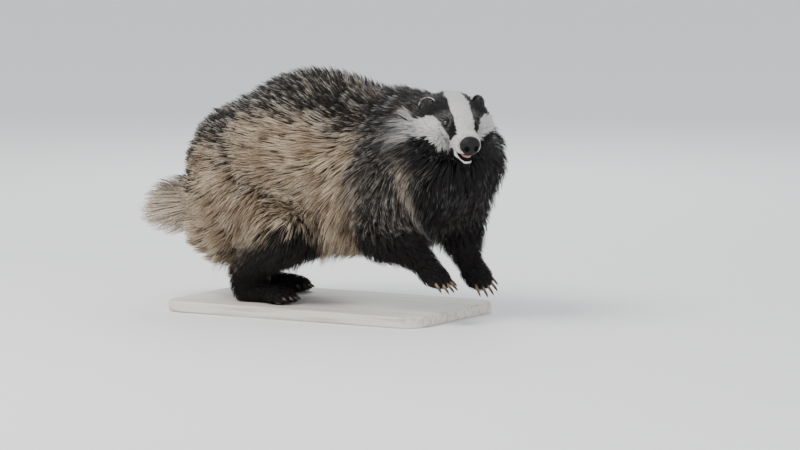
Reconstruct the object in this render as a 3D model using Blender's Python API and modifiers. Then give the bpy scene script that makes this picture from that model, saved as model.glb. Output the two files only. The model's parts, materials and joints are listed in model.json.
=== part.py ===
"""A European badger in mid bound, life size, standing by its hind feet on a plain display base.

Run with: blender --background --python part.py
Metres, +Z up. +X is the way the body heads, +Y its left side. The origin is the middle of the base's underside.
The flesh is a family of ovals and tapering limbs that blend into one another. Lengths in the lists of flesh
are millimetres above the soles, and each mesh is written in metres.
"""

import math

import bmesh
import bpy
import numpy as np
from mathutils import Euler, Matrix, Vector

# Driving dimensions, in millimetres
MM = 0.001
GAP = 0.3
BASE_LENGTH, BASE_WIDTH, BASE_THICKNESS = 470.0, 270.0, 18.0
BASE_CORNER, BASE_BEVEL = 34.0, 2.5
GROUND = (BASE_THICKNESS + GAP) * MM

# The head's frame: between the ears, +X out along the muzzle, +Y its left
HEAD_AT = (256.3, -53.0, 328.5)
HEAD_YAW, HEAD_PITCH, HEAD_ROLL = -46.0, 15.0, 2.0
EYE_X, EYE_Z, EYE_RADIUS, EYE_OUT = 53.0, -12.0, 5.4, 2.6
EAR_AT, EAR_RADII = (-8.0, 39.0, -7.0), (5.0, 13.5, 14.5)

# How deep the coat is over the flesh, and the share of it that the solid core fills
BACK_COAT, FLANK_COAT, BELLY_COAT, NECK_COAT = 31.0, 27.0, 24.0, 28.0
CHEEK_COAT, FACE_COAT, LEG_COAT, SHANK_COAT, TAIL_COAT = 16.0, 2.5, 20.0, 8.0, 23.0
CORE_SHARE = 0.5

# The locks of long hair: spacing along and across the lie, length for each millimetre of coat, how far the tips
# pass the coat's mean outline, and the half width and thickness from root to tip
LOCK_STEP, LOCK_APART, LOCK_REACH, LOCK_RISE, LOCK_SUNK, LEAST_COAT = 50.0, 32.0, 2.2, 1.35, 4.0, 17.5
LOCK_WIDTHS = (12.0, 17.5, 12.5, 1.3)
LOCK_DEPTHS = (4.0, 4.8, 3.6, 0.6)
LOCK_SEED, LOCK_TRIES = 14, 5000
SHORTEST_EDGE = 0.01

# Feet
TOE_RADIUS, FORE_CLAW, HIND_CLAW, CLAW_RADIUS = 6.6, 22.0, 13.0, 2.6
TOE_SPREAD = (-19.0, -10.0, 0.0, 10.0, 18.5)
TOE_BACK = (8.0, 1.5, 0.0, 2.5, 11.0)

# Triangles that each surface is thinned to
BODY_SIDES, HEAD_SIDES, JAW_SIDES, NOSE_SIDES, FOOT_SIDES, EAR_SIDES = 1100, 1800, 280, 220, 260, 130

IDENTITY = Matrix.Identity(3)


def turned(yaw=0.0, pitch=0.0, roll=0.0):
    """A turn in degrees: roll about X, then pitch nose-down about Y, then yaw about Z."""
    return Euler((math.radians(roll), math.radians(pitch), math.radians(yaw))).to_matrix()


class Oval:
    """An ellipsoid of flesh, with the coat that it carries and the way that the hair lies on it."""

    def __init__(self, centre, radii, coat=0.0, lie=(-1.0, 0.0, -0.1), blend=22.0, turn=IDENTITY):
        self.centre, self.radii, self.turn = np.array(centre, float), np.array(radii, float), np.array(turn)
        self.coat, self.lie, self.blend = coat, np.array(lie, float), blend

    def distance(self, points):
        local = (points - self.centre) @ self.turn
        near = np.linalg.norm(local / self.radii, axis=1) + 1e-9
        steep = np.linalg.norm(local / self.radii**2, axis=1) + 1e-9
        return near * (near - 1.0) / steep

    def put_in(self, frame, origin):
        frame = np.array(frame)
        centre = frame @ self.centre + np.array(origin)
        return Oval(centre, self.radii, self.coat, frame @ self.lie, self.blend, frame @ self.turn)

    def add_to(self, work, share):
        place = Matrix.Translation(self.centre * MM) @ Matrix(self.turn).to_4x4()
        radii = (self.radii + share * self.coat) * MM
        bmesh.ops.create_uvsphere(
            work, u_segments=28, v_segments=16, radius=1.0, matrix=place @ Matrix.Diagonal((*radii, 1.0)),
        )


class Limb:
    """A round length of flesh that tapers from one end's radius to the other's."""

    def __init__(self, start, end, start_radius, end_radius, coat=0.0, lie=None, blend=18.0):
        self.start, self.end = np.array(start, float), np.array(end, float)
        self.radii, self.coat, self.blend = (start_radius, end_radius), coat, blend
        self.lie = self.end - self.start if lie is None else np.array(lie, float)

    def distance(self, points):
        along = self.end - self.start
        share = np.clip((points - self.start) @ along / (along @ along), 0.0, 1.0)
        reach = np.linalg.norm(points - self.start - share[:, None] * along, axis=1)
        return reach - self.radii[0] - share * (self.radii[1] - self.radii[0])

    def put_in(self, frame, origin):
        frame, origin = np.array(frame), np.array(origin)
        start, end = frame @ self.start + origin, frame @ self.end + origin
        return Limb(start, end, *self.radii, self.coat, frame @ self.lie, self.blend)

    def add_to(self, work, share):
        radii = [(radius + share * self.coat) * MM for radius in self.radii]
        for end, radius in zip((self.start, self.end), radii):
            bmesh.ops.create_uvsphere(
                work, u_segments=22, v_segments=14, radius=radius, matrix=Matrix.Translation(end * MM),
            )
        along = Vector(self.end - self.start)
        upright = along.to_track_quat("Z", "Y").to_matrix().to_4x4()
        bmesh.ops.create_cone(
            work, cap_ends=True, segments=22, depth=along.length * MM, radius1=radii[0], radius2=radii[1],
            matrix=Matrix.Translation((self.start + self.end) / 2 * MM) @ upright,
        )


def height_over(flesh, points, share):
    """How far each point is outside the blended flesh with this share of its coat."""
    total = flesh[0].distance(points) - share * flesh[0].coat
    for piece in flesh[1:]:
        other = piece.distance(points) - share * piece.coat
        mix = np.clip(0.5 + 0.5 * (other - total) / piece.blend, 0.0, 1.0)
        total = other + (total - other) * mix - piece.blend * mix * (1.0 - mix)
    return total


def slope_over(flesh, points, share, step=0.5):
    """The gradient of that height at each point."""
    sides = [height_over(flesh, points + sign * step * axis, share) for axis in np.eye(3) for sign in (1, -1)]
    return np.stack([sides[0] - sides[1], sides[2] - sides[3], sides[4] - sides[5]], axis=1) / (2.0 * step)


def settle(flesh, points, share, height=0.0, rounds=8):
    """Moves points along the slope until they are this height over the flesh."""
    points = points.copy()
    for _ in range(rounds):
        slope = slope_over(flesh, points, share)
        step = (height_over(flesh, points, share) - height) / np.maximum((slope**2).sum(axis=1), 0.25)
        points -= np.clip(step, -4.0, 4.0)[:, None] * slope
    return points


def blend_over(flesh, points, share):
    """The coat's depth and the way that the hair lies at each point, from the flesh nearest to it."""
    near = np.stack([piece.distance(points) - share * piece.coat for piece in flesh])
    weight = np.exp((near.min(axis=0) - near) / 14.0)
    weight /= weight.sum(axis=0)
    depth = weight.T @ np.array([piece.coat for piece in flesh])
    way = weight.T @ np.stack([piece.lie / np.linalg.norm(piece.lie) for piece in flesh])
    return depth, way


def tangent(way, slope):
    """The part of a direction that runs along the surface."""
    out = slope / np.linalg.norm(slope, axis=1)[:, None]
    way = way - (way * out).sum(axis=1)[:, None] * out
    return way / (np.linalg.norm(way, axis=1)[:, None] + 1e-9), out


def object_of(name, mesh, collection):
    thing = bpy.data.objects.new(name, mesh)
    collection.objects.link(thing)
    return thing


def object_from(name, work, collection):
    """An object of the mesh being worked on, which is then let go."""
    mesh = bpy.data.meshes.new(name)
    work.to_mesh(mesh)
    work.free()
    return object_of(name, mesh, collection)


def evaluated_mesh(thing):
    """The object's mesh with its modifiers applied."""
    graph = bpy.context.evaluated_depsgraph_get()
    return bpy.data.meshes.new_from_object(thing.evaluated_get(graph))


def bake(thing):
    """Applies every modifier of the object."""
    mesh = evaluated_mesh(thing)
    thing.modifiers.clear()
    thing.data = mesh
    return thing


def surface_of(name, pieces, flesh, voxel, sides, share, collection):
    """One closed mesh of these pieces: they are joined and remeshed, each vertex is moved onto the blended
    surface of all the flesh, and the result is thinned to about this many triangles."""
    work = bmesh.new()
    for piece in pieces:
        piece.add_to(work, share)
    thing = object_from(name, work, collection)
    remesh = thing.modifiers.new("Join", "REMESH")
    remesh.mode, remesh.voxel_size = "VOXEL", voxel * MM
    bake(thing)
    points = np.empty(len(thing.data.vertices) * 3)
    thing.data.vertices.foreach_get("co", points)
    points = settle(flesh, points.reshape(-1, 3) / MM, share)
    thing.data.vertices.foreach_set("co", (points * MM).ravel())
    thing.data.update()
    found = len(thing.data.polygons) * 2
    if found > sides:
        thin = thing.modifiers.new("Thin", "DECIMATE")
        thin.ratio = sides / found
        bake(thing)
    return thing


def boolean(thing, other, operation):
    """Combines a piece with another, which is used up."""
    cut = thing.modifiers.new("Cut", "BOOLEAN")
    cut.operation, cut.object, cut.solver = operation, other, "MANIFOLD"
    bake(thing)
    bpy.data.objects.remove(other)
    return thing


def grown(thing, by=GAP):
    """A copy of a piece, larger all round by the gap that neighbours keep."""
    copy = object_of(thing.name + "_clear", thing.data.copy(), CUTTERS)
    swell = copy.modifiers.new("Swell", "DISPLACE")
    swell.strength, swell.mid_level = by * MM, 0.0
    return bake(copy)


def largest_body(thing):
    """Keeps only the largest closed surface of a mesh."""
    work = bmesh.new()
    work.from_mesh(thing.data)
    left, bodies = set(work.faces), []
    while left:
        body, rim = [], [left.pop()]
        while rim:
            face = rim.pop()
            body.append(face)
            for other in {other for side in face.edges for other in side.link_faces} & left:
                left.discard(other)
                rim.append(other)
        bodies.append(body)
    bodies.sort(key=len)
    scraps = [face for body in bodies[:-1] for face in body]
    bmesh.ops.delete(work, geom=scraps, context="FACES")
    work.to_mesh(thing.data)
    work.free()
    return thing


def cut_clear(thing, *neighbours):
    """Cuts a piece back from its neighbours, which keep their shape."""
    for neighbour in neighbours:
        boolean(thing, grown(neighbour), "DIFFERENCE")
    return largest_body(thing)


def carve(thing, voxel, sides, *pieces):
    """Sinks hollows of these shapes into a piece."""
    for piece in pieces:
        hollow = surface_of("hollow", [piece], [piece], voxel, sides, 0.0, CUTTERS)
        boolean(thing, hollow, "DIFFERENCE")
    return largest_body(thing)


def region(planes, margin):
    """The block of space beyond all the planes, each a point and the way in, larger by the margin."""
    work = bmesh.new()
    bmesh.ops.create_cube(work, size=1.6)
    for point, inward in planes:
        inward = Vector(inward).normalized()
        start = (Vector(point) - inward * margin) * MM
        every = work.verts[:] + work.edges[:] + work.faces[:]
        cut = bmesh.ops.bisect_plane(work, geom=every, plane_co=start, plane_no=-inward, clear_outer=True)
        rim = [part for part in cut["geom_cut"] if isinstance(part, bmesh.types.BMEdge)]
        bmesh.ops.edgeloop_fill(work, edges=rim)
    bmesh.ops.recalc_face_normals(work, faces=work.faces[:])
    bmesh.ops.triangulate(work, faces=work.faces[:])
    return object_from("region", work, CUTTERS)


def part_off(thing, name, planes):
    """Takes what lies beyond the planes off a piece as a new piece, with a thin cut between the two."""
    taken = object_of(name, thing.data.copy(), BADGER)
    boolean(taken, region(planes, -GAP / 2), "INTERSECT")
    boolean(thing, region(planes, GAP / 2), "DIFFERENCE")
    largest_body(thing)
    return largest_body(taken)


def keep_beyond(thing, planes):
    """Keeps only what lies beyond the planes."""
    return largest_body(boolean(thing, region(planes, -GAP / 2), "INTERSECT"))


def welded(name, mesh):
    """The mesh as an object with its doubled vertices merged."""
    work = bmesh.new()
    work.from_mesh(mesh)
    bmesh.ops.remove_doubles(work, verts=work.verts[:], dist=1e-5)
    bmesh.ops.recalc_face_normals(work, faces=work.faces[:])
    return object_from(name, work, BADGER)


def coloured(name, colour, roughness):
    material = bpy.data.materials.new(name)
    material.use_nodes = True
    shader = material.node_tree.nodes["Principled BSDF"]
    shader.inputs["Base Color"].default_value = (*colour, 1.0)
    shader.inputs["Roughness"].default_value = roughness
    shader.inputs["Metallic"].default_value = 0.0
    return material


def new_collection(name):
    collection = bpy.data.collections.new(name)
    bpy.context.scene.collection.children.link(collection)
    return collection


for old in list(bpy.data.objects):
    bpy.data.objects.remove(old)
BADGER = new_collection("european_badger")
CUTTERS = new_collection("cutters")
CUTTERS.hide_render = True

GREY = coloured("grizzled_coat", (0.34, 0.30, 0.26), 0.85)
BLACK = coloured("black_coat", (0.03, 0.028, 0.027), 0.8)
WHITE = coloured("white_face", (0.74, 0.70, 0.66), 0.8)
PALE = coloured("pale_tail", (0.55, 0.47, 0.38), 0.85)
HORN = coloured("claw_horn", (0.33, 0.24, 0.16), 0.4)
LEATHER = coloured("nose_skin", (0.05, 0.045, 0.045), 0.45)
TONGUE = coloured("mouth_skin", (0.55, 0.25, 0.25), 0.4)
EYE = coloured("eye", (0.02, 0.012, 0.008), 0.05)
BOARD = coloured("base_board", (0.78, 0.76, 0.72), 0.6)

HEAD_FRAME = np.array(turned(HEAD_YAW, HEAD_PITCH, HEAD_ROLL))
BACKWARD, SLANTING, DOWN = (-1.0, 0.0, -0.1), (-0.8, 0.0, -0.6), (-0.35, 0.0, -1.0)
NAPE = (-1.0, 0.3, -0.5)


def from_head(point):
    """A point of the head's frame, in the badger's."""
    return HEAD_FRAME @ np.array(point) + np.array(HEAD_AT)


def trunk_flesh():
    """Rump, haunch, arched back, ribs, shoulders, breast and belly."""
    return [
        Oval((-128, 0, 205), (98, 90, 90), BACK_COAT, (-1.0, 0.0, -0.15)),
        Oval((-152, 0, 144), (72, 86, 66), FLANK_COAT, SLANTING),
        Oval((-20, 0, 240), (125, 94, 104), BACK_COAT, BACKWARD),
        Oval((70, 0, 226), (105, 91, 95), BACK_COAT, (-0.9, 0.0, -0.5)),
        Oval((135, 0, 220), (76, 84, 84), FLANK_COAT, DOWN),
        Oval((165, 0, 198), (58, 70, 54), FLANK_COAT, DOWN),
        Oval((0, 0, 167), (138, 84, 58), BELLY_COAT, (-0.5, 0.0, -1.0)),
    ]


def neck_flesh(share=1.0):
    """The neck, its ruff on the far side and the throat, with this share of their coat."""
    return [
        Limb((138, 0, 244), (224, -24, 264), 77, 61, share * NECK_COAT, NAPE, 22),
        Oval((194, 32, 232), (72, 74, 68), share * NECK_COAT, (-0.4, 0.2, -1.0), 20),
        Oval((214, -20, 214), (50, 50, 46), share * FLANK_COAT, (-0.2, 0.0, -1.0), 20),
    ]


def tail_flesh():
    return [
        Limb((-205, 0, 166), (-258, 2, 150), 24, 13, TAIL_COAT, (-1.0, 0.0, -0.25), 14),
        Limb((-258, 2, 150), (-306, 4, 143), 13, 10, TAIL_COAT + 2, (-1.0, 0.0, -0.1), 12),
    ]


# Each leg's shoulder or hip, its elbow or knee, and its ankle
LEGS = {
    "foreleg_right": ((150, -54, 205), (142, -76, 132), (211, -73, 82)),
    "foreleg_left": ((166, 52, 205), (199, 64, 142), (215, 62, 75)),
    "hindleg_right": ((-112, -46, 180), (-24, -82, 124), (-114, -76, 42)),
    "hindleg_left": ((-128, 46, 182), (-80, 84, 122), (-180, 76, 42)),
}
FORE_RADII, HIND_RADII = (50, 32, 14), (60, 40, 16)


def leg_flesh(leg):
    """The upper and the lower length of a leg."""
    top, bend, ankle = LEGS[leg]
    radii = FORE_RADII if leg.startswith("fore") else HIND_RADII
    return [
        Limb(top, bend, radii[0], radii[1], LEG_COAT, (-0.2, 0.0, -1.0), 20),
        Limb(bend, ankle, radii[1], radii[2], SHANK_COAT, None, 20),
    ]


def head_flesh():
    """Skull, brows, cheeks, muzzle and lips, in the head's frame."""
    back = (-1.0, 0.0, -0.1)
    pieces = [
        Oval((-2, 0, -26), (48, 41, 29.5), FACE_COAT + 2, back, 14),
        Oval((36, 0, -19.5), (40, 23.5, 22), FACE_COAT, back, 12),
        Oval((74, 0, -30), (40, 17.5, 15.5), FACE_COAT, back, 9),
        Oval((89, 0, -32), (15, 15.5, 13.5), FACE_COAT, back, 6),
    ]
    for side in (1, -1):
        pieces += [
            Oval((6, 32 * side, -40), (33, 20, 26), CHEEK_COAT, (-1.0, 0.0, -0.3), 12),
            Oval((47, 15 * side, -16), (18, 8.5, 9.5), FACE_COAT, back, 8),
            Oval((78, 10 * side, -38.5), (25, 8.5, 8.5), FACE_COAT, back, 5),
        ]
    return [piece.put_in(HEAD_FRAME, HEAD_AT) for piece in pieces]


def jaw_flesh():
    """The lower jaw, a little open."""
    back = (-1.0, 0.0, -0.2)
    pieces = [
        Limb((16, 0, -54), (60, 0, -58), 20, 12, FACE_COAT, back, 8),
        Limb((58, 0, -58.5), (90, 0, -61.5), 11.5, 7.0, FACE_COAT, back, 6),
    ]
    return [piece.put_in(HEAD_FRAME, HEAD_AT) for piece in pieces]


# Each foot's ankle is its leg's. The turns tip the toes down and roll the sole out
FEET = {
    "forepaw_right": ("foreleg_right", turned(-2.0, 26.0, 6.0)),
    "forepaw_left": ("foreleg_left", turned(2.0, 40.0, 20.0)),
    "hindfoot_right": ("hindleg_right", turned(0.0)),
    "hindfoot_left": ("hindleg_left", turned(0.0)),
}


def foot_place(foot):
    leg, turn = FEET[foot]
    return np.array(turn), np.array(LEGS[leg][2], float)


def toe_ends(foot):
    """Root and tip of each toe in the foot's own frame, from its right to its left."""
    root_at, length, level = (40.0, 17.0, -13.0) if foot.startswith("fore") else (80.0, 15.0, -33.0)
    for spread, back in zip(TOE_SPREAD, TOE_BACK):
        yield (root_at - back - 12.0, 0.75 * spread, level + 1.0), (root_at - back + length - 8.0, spread, level)


def foot_flesh(foot):
    """Wrist or heel, palm and toes, with a soft pad under each."""
    frame, ankle = foot_place(foot)
    hair, forward = FACE_COAT, (1.0, 0.0, -0.2)
    if foot.startswith("fore"):
        pieces = [
            Limb((-14, 0, 3), (22, 0, -4), 15, 13.5, SHANK_COAT - 2, forward, 8),
            Oval((28, 0, -9), (24, 21, 11), hair, forward, 6),
            Oval((26, 0, -17), (12, 15, 4.5), 0.0, forward, 2),
        ]
    else:
        pieces = [
            Limb((0, 0, 6), (2, 0, -22), 17, 15, SHANK_COAT - 2, forward, 8),
            Limb((0, 0, -25), (60, 0, -29), 14, 11, hair, forward, 8),
            Oval((64, 0, -29), (26, 22, 11), hair, forward, 6),
        ]
    for root, tip in toe_ends(foot):
        pieces.append(Limb(root, tip, TOE_RADIUS + 0.8, TOE_RADIUS, hair, forward, 3))
    return [piece.put_in(frame, ankle) for piece in pieces]


# Where the whole is parted: for each piece, the planes that it lies beyond
NECK_PLANES = [((150, 0, 250), (0.76, -0.12, 0.64))]
HEAD_PLANES = [
    (from_head((-24, 0, -20)), HEAD_FRAME @ (1.0, 0.0, 0.1)),
    (from_head((0, 0, -78)), HEAD_FRAME @ (-0.25, 0.0, 1.0)),
]
TAIL_PLANES = [((-238, 0, 160), (-1, 0, 0)), ((-250, 0, 196), (-0.2, 0, -1)), ((-250, 0, 104), (0.2, 0, 1))]
LEG_PLANES = {
    "foreleg_right": [((150, 0, 150), (0, -0.45, -0.89)), ((64, 0, 0), (1, 0, 0)), ((0, 0, 0), (0, -1, 0))],
    "foreleg_left": [((150, 0, 150), (0, 0.45, -0.89)), ((64, 0, 0), (1, 0, 0)), ((0, 0, 0), (0, 1, 0))],
    "hindleg_right": [((-100, 0, 136), (0, -0.42, -0.91)), ((36, 0, 0), (-1, 0, 0)), ((0, -14, 0), (0, -1, 0))],
    "hindleg_left": [((-100, 0, 136), (0, 0.42, -0.91)), ((36, 0, 0), (-1, 0, 0)), ((0, 14, 0), (0, 1, 0))],
}
LOWER_LEG = {
    "foreleg_right": ("forearm_right", [((170, 0, 112), (0.2, 0, -0.98))]),
    "foreleg_left": ("forearm_left", [((200, 0, 118), (0.2, 0, -0.98))]),
    "hindleg_right": (
        "shank_right", [((-90, 0, 82), (0.25, 0, -0.97)), ((-38, 0, 0), (-1, 0, 0)), ((0, -38, 0), (0, -1, 0))],
    ),
    "hindleg_left": (
        "shank_left", [((-150, 0, 84), (0.25, 0, -0.97)), ((-98, 0, 0), (-1, 0, 0)), ((0, 34, 0), (0, 1, 0))],
    ),
}
UPPER_LEG = {
    "foreleg_right": "upper_arm_right",
    "foreleg_left": "upper_arm_left",
    "hindleg_right": "thigh_right",
    "hindleg_left": "thigh_left",
}


def foot_plane(foot):
    """The plane at the ankle that the foot lies beyond."""
    frame, ankle = foot_place(foot)
    if foot.startswith("fore"):
        return ankle, frame @ (1.0, 0.0, -0.1)
    return ankle - np.array((0.0, 0.0, 3.0)), np.array((0.0, 0.0, -1.0))


def finish(thing, material):
    """Welds the mesh's tiniest edges, makes it plain triangles with the largest first, and stands it on the base."""
    work = bmesh.new()
    work.from_mesh(thing.data)
    bmesh.ops.remove_doubles(work, verts=work.verts[:], dist=SHORTEST_EDGE * MM)
    bmesh.ops.triangulate(work, faces=work.faces[:])
    work.faces.sort(key=lambda face: -face.calc_area())
    work.to_mesh(thing.data)
    work.free()
    thing.data.name = thing.name
    thing.data.materials.clear()
    thing.data.materials.append(material)
    thing.data.shade_smooth()
    thing.data.set_sharp_from_angle(angle=math.radians(50.0))
    thing.location.z = GROUND
    return thing


def lock_roots(core, flesh):
    """Points on the core where locks grow, evenly spread but wider apart along the lie than across it."""
    mesh = core.data
    mesh.calc_loop_triangles()
    corners = np.array([[mesh.vertices[i].co for i in side.vertices] for side in mesh.loop_triangles]) / MM
    areas = np.linalg.norm(np.cross(corners[:, 1] - corners[:, 0], corners[:, 2] - corners[:, 0]), axis=1)
    chance = np.random.default_rng(LOCK_SEED)
    picked = corners[chance.choice(len(corners), LOCK_TRIES, p=areas / areas.sum())]
    a, b = np.sqrt(chance.random(LOCK_TRIES)), chance.random(LOCK_TRIES)
    shares = np.stack([1.0 - a, a * (1.0 - b), a * b], axis=1)
    tries = settle(flesh, (picked * shares[:, :, None]).sum(axis=1), CORE_SHARE)
    depth, way = blend_over(flesh, tries, CORE_SHARE)
    way, _ = tangent(way, slope_over(flesh, tries, CORE_SHARE))
    jaw_clear = height_over(jaw_flesh(), tries + 25.0 * way, 1.0) > 14.0
    roots = []
    for i in np.nonzero((depth > LEAST_COAT) & jaw_clear)[0]:
        size = max(depth[i] / BACK_COAT, 0.86)
        apart = tries[[j for j in roots]] - tries[i]
        along = apart @ way[i]
        across = np.sqrt(np.maximum((apart**2).sum(axis=1) - along**2, 0.0))
        if ((along / (LOCK_STEP * size))**2 + (across / (LOCK_APART * size**0.5))**2 > 1.0).all():
            roots.append(i)
    return tries[roots], depth[roots]


def lock_paths(flesh, roots, depth):
    """Each lock's middle line: it leaves the core, rises to the coat's outline and follows the body round."""
    chance = np.random.default_rng(LOCK_SEED + 1)
    length = LOCK_REACH * depth * chance.uniform(0.88, 1.12, len(roots))
    last = len(LOCK_WIDTHS) - 1
    at, stations = roots, []
    for number in range(last + 1):
        share = number / last
        rise = LOCK_RISE * (1.0 - CORE_SHARE) * depth + LOCK_SUNK
        height = rise[:, None] * share**0.85 - LOCK_SUNK
        slope = slope_over(flesh, at, CORE_SHARE)
        away = (height[:, 0] - height_over(flesh, at, CORE_SHARE)) / np.maximum((slope**2).sum(axis=1), 0.5)
        at = at + np.clip(away, -12.0, 16.0)[:, None] * slope
        way, out = tangent(blend_over(flesh, at, CORE_SHARE)[1], slope)
        stations.append((at, np.cross(out, way), out))
        at = at + way * (length / last)[:, None]
    return stations


def grow_locks(core, flesh):
    """Fuses flat tapered locks of hair to the core by one union."""
    roots, depth = lock_roots(core, flesh)
    stations = lock_paths(flesh, roots, depth)
    bundle = new_collection("locks")
    bundle.hide_render = True
    for i in range(len(roots)):
        size = (depth[i] / BACK_COAT)**0.6
        work = bmesh.new()
        rings = []
        for (at, side, out), width, thick in zip(stations, LOCK_WIDTHS, LOCK_DEPTHS):
            reach = ((side[i], width * size), (out[i], thick), (-side[i], width * size))
            rings.append([work.verts.new((at[i] + way * far) * MM) for way, far in reach])
        for lower, upper in zip(rings, rings[1:]):
            for j in range(3):
                k = (j + 1) % 3
                work.faces.new((lower[j], lower[k], upper[k], upper[j]))
        work.faces.new(rings[0][::-1])
        work.faces.new(rings[-1])
        bmesh.ops.triangulate(work, faces=work.faces[:])
        bmesh.ops.recalc_face_normals(work, faces=work.faces[:])
        object_from("lock", work, bundle)
    union = core.modifiers.new("Grow", "BOOLEAN")
    union.operation, union.operand_type, union.collection, union.solver = "UNION", "COLLECTION", bundle, "MANIFOLD"
    bake(core)
    for lock in list(bundle.objects):
        bpy.data.objects.remove(lock)
    bpy.data.collections.remove(bundle)
    return largest_body(core)


def build_body():
    """Trunk, neck, tail and legs in one surface with their locks, parted by thin cuts."""
    legs = [piece for leg in LEGS for piece in leg_flesh(leg)]
    pieces = trunk_flesh() + neck_flesh() + tail_flesh() + legs
    torso = surface_of("torso", pieces, pieces + head_flesh()[:1], 6.0, BODY_SIDES, CORE_SHARE, BADGER)
    grow_locks(torso, pieces)
    boolean(torso, region(HEAD_PLANES, GAP / 2), "DIFFERENCE")
    neck = part_off(torso, "neck", NECK_PLANES)
    tail = part_off(torso, "tail", TAIL_PLANES)
    finish(tail, PALE)
    for leg, planes in LEG_PLANES.items():
        upper = part_off(torso, UPPER_LEG[leg], planes)
        lower = part_off(upper, *LOWER_LEG[leg])
        foot = leg.replace("foreleg", "forepaw").replace("hindleg", "hindfoot")
        point, outward = foot_plane(foot)
        keep_beyond(lower, [(point, -outward)])
        finish(upper, BLACK)
        finish(lower, BLACK)
    finish(torso, GREY)
    return neck


def build_foot(foot):
    pieces = foot_flesh(foot)
    paw = surface_of(foot, pieces, pieces, 2.2, FOOT_SIDES, 1.0, BADGER)
    planes = [foot_plane(foot)]
    if foot.startswith("hind"):
        planes.append(((0, 0, 0), (0, 0, 1)))
    keep_beyond(paw, planes)
    for number, (root, tip) in enumerate(toe_ends(foot), 1):
        claw = build_claw(f"claw_{foot}_{number}", foot, root, tip)
        cut_clear(paw, claw)
        finish(claw, HORN)
    finish(paw, BLACK)


def build_claw(name, foot, root, tip):
    """A claw as a tapering tube along a short arc, out of the toe's end."""
    frame, ankle = foot_place(foot)
    length, drop = (FORE_CLAW, 0.26) if foot.startswith("fore") else (HIND_CLAW, 0.3)
    heading = np.array(tip) - np.array(root)
    heading[2] = 0.0
    heading /= np.linalg.norm(heading)
    curve = bpy.data.curves.new(name, "CURVE")
    curve.dimensions, curve.bevel_depth, curve.bevel_resolution = "3D", CLAW_RADIUS * MM, 1
    curve.use_fill_caps = True
    spline = curve.splines.new("POLY")
    shares = (0.0, 0.3, 0.62, 1.0)
    spline.points.add(len(shares) - 1)
    for point, share in zip(spline.points, shares):
        down = np.array((0.0, 0.0, drop * length * share**2 - 2.0))
        at = np.array(tip) + heading * length * (share + 0.1) - down
        point.co = (*((frame @ at + ankle) * MM), 1.0)
        point.radius = 1.0 - 0.88 * share**1.3
    tube = object_of(name, curve, CUTTERS)
    mesh = evaluated_mesh(tube)
    bpy.data.objects.remove(tube)
    return welded(name, mesh)


def build_nose():
    """The bare nose pad with its two nostrils and their side slits."""
    pieces = [
        Oval((106, 0, -30.5), (11.5, 16, 14), blend=4),
        Oval((110, 0, -36), (7.5, 11, 9), blend=4),
    ]
    pieces = [piece.put_in(HEAD_FRAME, HEAD_AT) for piece in pieces]
    nose = surface_of("nose", pieces, pieces, 1.5, NOSE_SIDES, 0.0, BADGER)
    for side in (1, -1):
        hollow = Oval((117, 7.2 * side, -32.5), (6.0, 3.2, 3.9))
        slit = Limb((114.5, 9.5 * side, -34.5), (107, 16.0 * side, -35.5), 1.4, 1.0)
        carve(nose, 0.9, 60, hollow.put_in(HEAD_FRAME, HEAD_AT), slit.put_in(HEAD_FRAME, HEAD_AT))
    return nose


def eye_centre(side):
    """A point a little under the face at the eye's place, found by moving outward."""
    reach = np.linspace(10.0, 45.0, 351)
    line = np.stack([np.full_like(reach, EYE_X), side * reach, np.full_like(reach, EYE_Z)], axis=1)
    heights = height_over(head_flesh(), line @ HEAD_FRAME.T + np.array(HEAD_AT), 1.0)
    out = reach[np.argmax(heights > 0.0)]
    return np.array((EYE_X - 1.0, side * (out - EYE_OUT), EYE_Z))


def eye_way(side):
    """The way that an eye looks, in the head's frame."""
    way = np.array((0.5, side * 0.8, 0.25))
    return way / np.linalg.norm(way)


def build_eye(name, side):
    work = bmesh.new()
    centre = Vector(from_head(eye_centre(side)))
    bmesh.ops.create_uvsphere(
        work, u_segments=10, v_segments=7, radius=EYE_RADIUS * MM, matrix=Matrix.Translation(centre * MM),
    )
    return object_from(name, work, BADGER)


def build_ear(name, side):
    """A rounded flap, hollowed in front into a cup."""
    x, y, z = EAR_AT
    turn = np.array(turned(28.0 * side, -16.0, -16.0 * side))
    centre = np.array((x, y * side, z))
    flap = Oval(centre, EAR_RADII, turn=turn).put_in(HEAD_FRAME, HEAD_AT)
    ear = surface_of(name, [flap], [flap], 1.6, EAR_SIDES, 0.0, BADGER)
    hollow = Oval(centre + turn @ (6.0, 0.0, 2.0), np.array(EAR_RADII) * (0.95, 0.76, 0.78), turn=turn)
    return carve(ear, 1.6, 110, hollow.put_in(HEAD_FRAME, HEAD_AT))


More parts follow.
